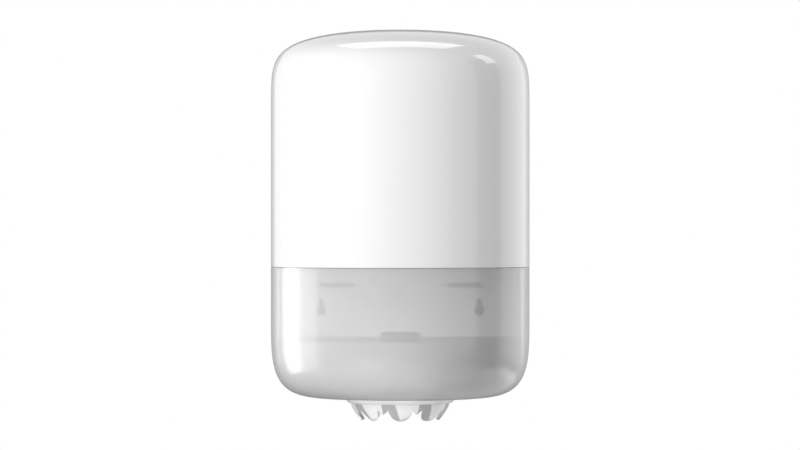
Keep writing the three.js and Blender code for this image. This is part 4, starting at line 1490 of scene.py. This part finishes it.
@dataclass
class Lock:
    """The push-button lock: housing, button, spring, keyed barrel, lever with its pin, and the catch."""

    form: Form
    button: float = 0.00875
    button_top: float = 0.25215
    cap: float = 0.009
    stem: float = 0.0045
    stem_bottom: float = 0.22955
    tip: float = 0.0024
    tip_height: float = 0.002
    waste: float = 0.02
    head_bore: float = 0.0045
    core_bore: float = 0.0029
    head: float = 0.0042
    head_height: float = 0.0022
    core: float = 0.0026
    key_slot: Size = (0.0016, 0.006, 0.0012)
    slot_round: float = 0.00015
    arm_z: Span = (0.22095, 0.22395)
    arm_width: float = 0.005
    arm_length: float = 0.020
    housing: Size = (0.026, 0.030, 0.004)
    housing_z: Span = (0.23205, 0.2489)
    housing_round: float = 0.0012
    housing_bore: float = 0.00905
    cheek_x: float = 0.00825
    cheek: Flat = (0.0025, 0.008)
    cheek_drop: float = 0.0034
    ears: Size = (0.048, 0.010, 0.003)
    ear_top: float = 0.2459
    ear_hole_x: float = 0.019
    ear_hole_z: Span = (0.235, 0.248)
    spring: float = 0.0066
    wire: float = 0.0004
    turns: float = 3.5
    spring_steps: int = 168
    travel: float = 0.0035
    spring_z: Span = (0.23635, 0.24285)
    lever_z: Span = (0.22625, 0.22925)
    lever_width: float = 0.013
    fork: float = 0.0064
    fork_depth: float = 0.0071
    lever_front: float = -0.0445
    tail_lap: float = 0.001
    pivot: Flat = (-0.027, 0.22775)
    pivot_bore: float = 0.0017
    pivot_reach: float = 0.03
    pivot_pin: Flat = (0.0014, 0.019)
    knuckle: float = 0.003
    hook_y: Span = (-0.016, -0.013)
    hook_bottom: float = 0.21925
    hook_width: float = 0.009
    hook_round: float = 0.0007
    catch_y: Span = (-0.012, -0.0093)
    catch_z: Span = (0.20185, 0.21535)
    catch_width: float = 0.044
    shelf_width: float = 0.016
    shelf: float = 0.003
    lip_y: Span = (-0.019, -0.0164)
    lip_top: float = 0.21885
    post_x: Span = (0.011, 0.018)
    post_width: float = 0.0067
    post_y: Span = (-0.0465, -0.0433)
    post_top: float = 0.22485

    @property
    def y(self) -> float:
        """The place of the button's axis in Y."""
        return self.form.lock_y

    def build_housing(self) -> None:
        """Joins the housing from its body, ears and cheeks, bores it and dresses it."""
        (width, depth, floor), (low, high) = self.housing, self.housing_z
        ear_width, ear_depth, ear_height = self.ears
        centre, (pivot_y, pivot_z) = (0, self.y), self.pivot
        body = block("lock_housing_moulding", about(0, width), about(self.y, depth), (low, high), self.housing_round)
        ear_z = (self.ear_top - ear_height, self.ear_top)
        body.join(block("ears", about(0, ear_width), about(self.y, ear_depth), ear_z, EASED))
        for side in SIDES:
            across, along = about(side * self.cheek_x, self.cheek[0]), about(pivot_y, self.cheek[1])
            body.join(block("cheek", across, along, (pivot_z - self.cheek_drop, low + floor / 2)).round_edges())
        body.cut(
            rod("bore", Axis.Z, self.housing_bore, (low + floor, high + OVERRUN), centre, 72),
            rod("stem_hole", Axis.Z, self.stem + GAP, (low - OVERRUN, high), centre, 48),
            rod("pin_bore", Axis.X, self.pivot_bore, about(0, width), self.pivot),
            *(
                rod("ear_hole", Axis.Z, SCREW_BORE, self.ear_hole_z, (side * self.ear_hole_x, self.y), 24)
                for side in SIDES
            ),
        )
        body.dress(LOCK, COVER, "lock_housing")

    def build_button(self) -> None:
        """Turns the button, cuts its tip to a blade and dresses it."""
        top, low, tip = self.button_top, self.button_top - self.cap, self.stem_bottom
        seat = top - self.head_height - GAP
        section = softened([
            (self.core_bore, tip), (self.stem, tip), (self.stem, low), (self.button, low),
            (self.button, top), (self.head_bore, top), (self.head_bore, seat), (self.core_bore, seat),
        ], EASED, closed=True)
        button = turned("lock_button_moulding", section, (0, self.y), 96)
        for side in SIDES:
            along = about(self.y + side * (self.waste + self.tip) / 2, self.waste)
            button.cut(block("waste", about(0, self.waste), along, (tip - OVERRUN, tip + self.tip_height)))
        button.dress(BUTTON, "lock_button", "lock_button")

    def build_barrel(self) -> None:
        """Turns the keyed barrel, joins its arm, cuts the key's slot and dresses it."""
        top, low, head = self.button_top - GAP / 2, self.arm_z[0], self.head
        seat = top - self.head_height
        section = [
            (0, low), (self.core, low), (self.core, seat), (head, seat), (head, top - GAP), (head - GAP, top),
            (0, top),
        ]
        barrel = turned("key_barrel_steel", section, (0, self.y))
        arm_y = (self.y - self.arm_width / 2, self.y + self.arm_length)
        arm = block("arm", about(0, self.arm_width), arm_y, self.arm_z, EASED)
        width, length, depth = self.key_slot
        slot = block("slot", about(0, width), about(self.y, length), (top - depth, top + OVERRUN))
        barrel.join(arm).cut(slot).soften(
            lambda e: all(v.co.z > top - NEAR and abs(v.co.x) < width for v in e.verts), self.slot_round, 1
        )
        barrel.dress(STEEL, "key_barrel", "key_barrel")

    def build_spring(self) -> None:
        """Winds the button's spring from a round wire with a screw modifier and dresses it."""
        low, high = self.spring_z[0] + self.wire, self.spring_z[1] - self.wire
        ring = arc((self.spring, low), self.wire, 0, 330, 11)
        spring = drawn("button_spring_steel", [(radius, 0, height) for radius, height in ring], closed=True)
        spring.modify(
            "SCREW", axis="Z", angle=2 * pi * self.turns, screw_offset=high - low,
            steps=self.spring_steps, render_steps=self.spring_steps, use_merge_vertices=False,
        )
        with spring.editing():
            spring.pick(lambda edge: edge.is_boundary)
            bpy.ops.mesh.edge_face_add()
            spring.face_outwards()
        coil = spring.shift((0, self.y, 0)).dress(STEEL, COVER, "button_spring", smooth=50, level_faces=False)
        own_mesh(coil)

    def build_lever(self) -> None:
        """Builds the forked lever with its hook, and the pin that it tilts on, and dresses both."""
        (low, high), pivot_y = self.lever_z, self.pivot[0]
        across, hook_x = about(0, self.lever_width), about(0, self.hook_width)
        arm = block("latch_lever_moulding", across, (self.lever_front, pivot_y), self.lever_z)
        tail = block("tail", hook_x, (pivot_y - self.tail_lap, self.hook_y[1]), self.lever_z)
        hook = block("hook", hook_x, self.hook_y, (self.hook_bottom, high))
        hook.soften(level(Axis.Z, self.hook_bottom), self.hook_round, 3)
        fork_y = (self.lever_front - OVERRUN, self.y + self.fork_depth)
        fork = block("fork", about(0, self.fork), fork_y, (low - OVERRUN, high + OVERRUN))
        knuckle = rod("knuckle", Axis.X, self.knuckle, across, self.pivot, 40).round_edges(GAP)
        bore = rod("bore", Axis.X, self.pivot_bore, about(0, self.pivot_reach), self.pivot)
        arm.join(tail, hook).cut(fork).round_edges().join(knuckle).cut(bore)
        arm.dress(LOCK, "latch_lever", "latch_lever")
        Fasteners.pin("latch_pin_steel", *self.pivot_pin, (0, *self.pivot)).dress(STEEL, COVER, "latch_pin")

    def build_catch(self) -> None:
        """Builds the catch on the back plate and dresses it."""
        high, within = self.catch_z[1], self.catch_y[1] - GAP
        low = high - self.shelf
        shelf_z, post = (low, high - GAP), about(sum(self.post_x) / 2, self.post_width)
        base = block("lock_catch_moulding", about(0, self.catch_width), self.catch_y, self.catch_z, EASED)
        base.join(
            block("shelf", about(0, self.shelf_width), (self.lip_y[0], within), shelf_z, EASED),
            block("lip", about(0, self.shelf_width - GAP), self.lip_y, (low + GAP, self.lip_top), EASED),
            block("beam", self.post_x, (self.post_y[0], within), shelf_z, EASED),
            block("post", post, self.post_y, (low + GAP, self.post_top), EASED),
        )
        through = (self.catch_y[0] - OVERRUN, self.catch_y[1] + OVERRUN)
        base.cut(*(rod("hole", Axis.Y, SCREW_BORE, through, place, 24) for place in self.form.catch_screws))
        base.dress(LOCK, WALL_UNIT, "lock_catch")

    def build(self) -> None:
        """Builds all pieces of the lock."""
        self.build_housing()
        self.build_button()
        self.build_barrel()
        self.build_spring()
        self.build_lever()
        self.build_catch()


# The studio


@dataclass(frozen=True)
class Hanging:
    """Something that faces a point on the dispenser, placed by direction from that point."""

    name: str
    azimuth: float
    elevation: float
    distance: float
    size: Flat

    def facing(self, centre: Point) -> Matrix:
        """Its place, turned to face a point."""
        turn, rise = radians(self.azimuth), radians(self.elevation)
        way = Vector((sin(turn) * cos(rise), -cos(turn) * cos(rise), sin(rise)))
        turned_to = way.to_track_quat("Z", "Y").to_matrix().to_4x4()
        return Matrix.Translation(Vector(centre) + way * self.distance) @ turned_to


@dataclass(frozen=True)
class Softbox(Hanging):
    """A large soft lamp."""

    radiance: float
    lights: bool = True
    reflects: bool = True
    spread: float = 180

    def hang(self, centre: Point) -> None:
        """Adds the lamp, turned to a point."""
        data = bpy.data.lights.new(self.name, "AREA")
        data.shape, data.size, data.size_y = "RECTANGLE", *self.size
        data.energy = self.radiance * pi * self.size[0] * self.size[1]
        data.spread = radians(self.spread)
        lamp, place = bpy.data.objects.new(self.name, data), self.facing(centre)
        lamp.location, lamp.rotation_euler = place.to_translation(), place.to_euler()
        lamp.visible_camera = False
        lamp.visible_diffuse, lamp.visible_glossy = self.lights, self.reflects
        bpy.context.scene.collection.objects.link(lamp)


def sheet(name: str, place: Matrix, size: Flat) -> tuple[bpy.types.Object, Nodes]:
    """A flat sheet of the stage at a place, with the nodes of its own new material."""
    obj = primitive(bpy.ops.mesh.primitive_plane_add, name, size=1).obj
    obj.data.transform(place @ Matrix.Diagonal((*size, 1, 1)))
    nodes = Nodes(bpy.data.materials.new(name))
    obj.data.materials.append(nodes.owner)
    return obj, nodes


@dataclass(frozen=True)
class Card(Hanging):
    """A grey card that only reflections see."""

    shade: float

    def hang(self, centre: Point) -> None:
        """Adds the card, turned to a point."""
        card, nodes = sheet(self.name, self.facing(centre), self.size)
        card.visible_camera = card.visible_diffuse = card.visible_transmission = card.visible_shadow = False
        nodes.surface(nodes.glow(self.shade))


@dataclass
class Studio:
    """Camera, lamps, floor and backdrop of the photograph."""

    middle: Point = (0.0, -0.10, 0.075)
    camera_at: Point = (-0.0002, -4.0997, 0.0718)
    lens: float = 194.3
    sensor: float = 36
    sight: float = 100
    nozzle: Point = (0.0, -0.12, -0.12)
    ambient: float = 0.28
    floor_z: float = -0.75
    floor_radius: float = 6
    floor_fade: float = 5.5
    floor_core: float = 1.6
    floor_shade: float = 0.86
    # The glow of the painted shade behind the plate's openings
    wall_shade: float = 0.02
    wall_at: Point = (0.0, -0.0008, 0.068)
    wall_size: Flat = (0.17, 0.245)
    hung: tuple[Hanging, ...] = (
        Softbox("key", -30, 12, 3.0, (1.4, 1.4), 12.8, reflects=False),
        Softbox("left_fill", -100, 4, 2.0, (1.3, 1.7), 1.6, reflects=False),
        Softbox("right_rear", 125, 5, 2.2, (1.3, 2.6), 7.0, reflects=False),
        Softbox("low_fill", -25, -28, 1.2, (0.5, 0.4), 1.5, reflects=False),
        Softbox("left_strip", -113, -4, 2.0, (0.9, 2.1), 3.2, lights=False),
        Softbox("left_veil", -98, -4, 1.9, (1.4, 2.0), 1.6, lights=False),
        Softbox("overhead", 180, 73, 2.2, (1.6, 1.0), 3.7, lights=False),
        Softbox("spot", 94, 37, 2.0, (0.4, 0.7), 4.0, lights=False),
        Card("dark_card", 84, 0, 2.0, (1.0, 3.0), 0.1),
        Card("rear_card", 180, -10, 2.0, (2.6, 2.3), 0.3),
    )
    low_front: Softbox = Softbox("low_front", -4, -10, 1.0, (0.1, 0.1), 0.9, reflects=False, spread=9)

    def camera(self) -> None:
        """Adds the camera."""
        data = bpy.data.cameras.new("camera")
        data.lens, data.sensor_width, data.clip_end = self.lens, self.sensor, self.sight
        camera = bpy.data.objects.new("camera", data)
        camera.location, camera.rotation_euler = self.camera_at, (pi / 2, 0, 0)
        bpy.context.scene.collection.objects.link(camera)
        bpy.context.scene.camera = camera

    def world(self) -> None:
        """White behind the object, and an even grey light from all round."""
        world = bpy.context.scene.world = bpy.data.worlds.new("studio_world")
        nodes = Nodes(world)
        light, backdrop = (nodes.add("ShaderNodeBackground", {"Color": grey(shade)}) for shade in (self.ambient, 1))
        nodes.add("ShaderNodeOutputWorld", {"Surface": nodes.mixed(nodes.seen(), light, backdrop)})

    def wall_patch(self) -> None:
        """A sheet of painted shade, glowing dark grey on the wall close behind the plate, seen only from the front
        and through the plate's openings.
        """
        upright = Matrix.Translation(self.wall_at) @ Matrix.Rotation(pi / 2, 4, "X")
        patch, nodes = sheet("wall_patch", upright, self.wall_size)
        patch.visible_diffuse = patch.visible_shadow = False
        back = nodes.add("ShaderNodeNewGeometry", {}, "Backfacing")
        nodes.surface(nodes.mixed(back, nodes.glow(self.wall_shade), nodes.clear()))

    def floor(self) -> None:
        """A plain pale floor well below the dispenser, which fades out and is clear from below."""
        circle = bpy.ops.mesh.primitive_circle_add
        floor = primitive(circle, "studio_floor", vertices=96, radius=self.floor_radius, fill_type="NGON").obj
        floor.data.transform(Matrix.Translation((0, 0, self.floor_z)))
        nodes = Nodes(bpy.data.materials.new("studio_floor"))
        near = nodes.place((1 / self.floor_fade, 1 / self.floor_fade, 0))
        fade = nodes.add("ShaderNodeTexGradient", {"Vector": near}, 1, gradient_type="SPHERICAL")
        shown = (fade * self.floor_core).clamped() * (1 - nodes.add("ShaderNodeNewGeometry", {}, "Backfacing"))
        paint = nodes.add("ShaderNodeBsdfDiffuse", {"Color": grey(self.floor_shade)})
        floor.data.materials.append(nodes.surface(nodes.mixed(shown, nodes.clear(), paint)))
        floor.visible_diffuse = False

    def build(self) -> None:
        """Sets the stage."""
        bpy.context.scene.view_settings.view_transform = "Standard"
        self.camera()
        self.world()
        self.floor()
        self.wall_patch()
        for hanging in self.hung:
            hanging.hang(self.middle)
        self.low_front.hang(self.nozzle)


def main() -> None:
    """Builds the dispenser over its frame and sets the stage."""
    logging.basicConfig(level=logging.INFO, format="%(name)s: %(message)s")
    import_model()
    form = Form()
    cover, back, tray = Cover(form), WallPlate(form), RollTray(form)
    for assembly in (cover, back, tray, Nozzle(form), Lock(form)):
        assembly.build()
    Fasteners().build(form, back, tray, cover)
    Studio().build()
    bpy.ops.object.select_all(action="DESELECT")


if __name__ == "__main__":
    main()
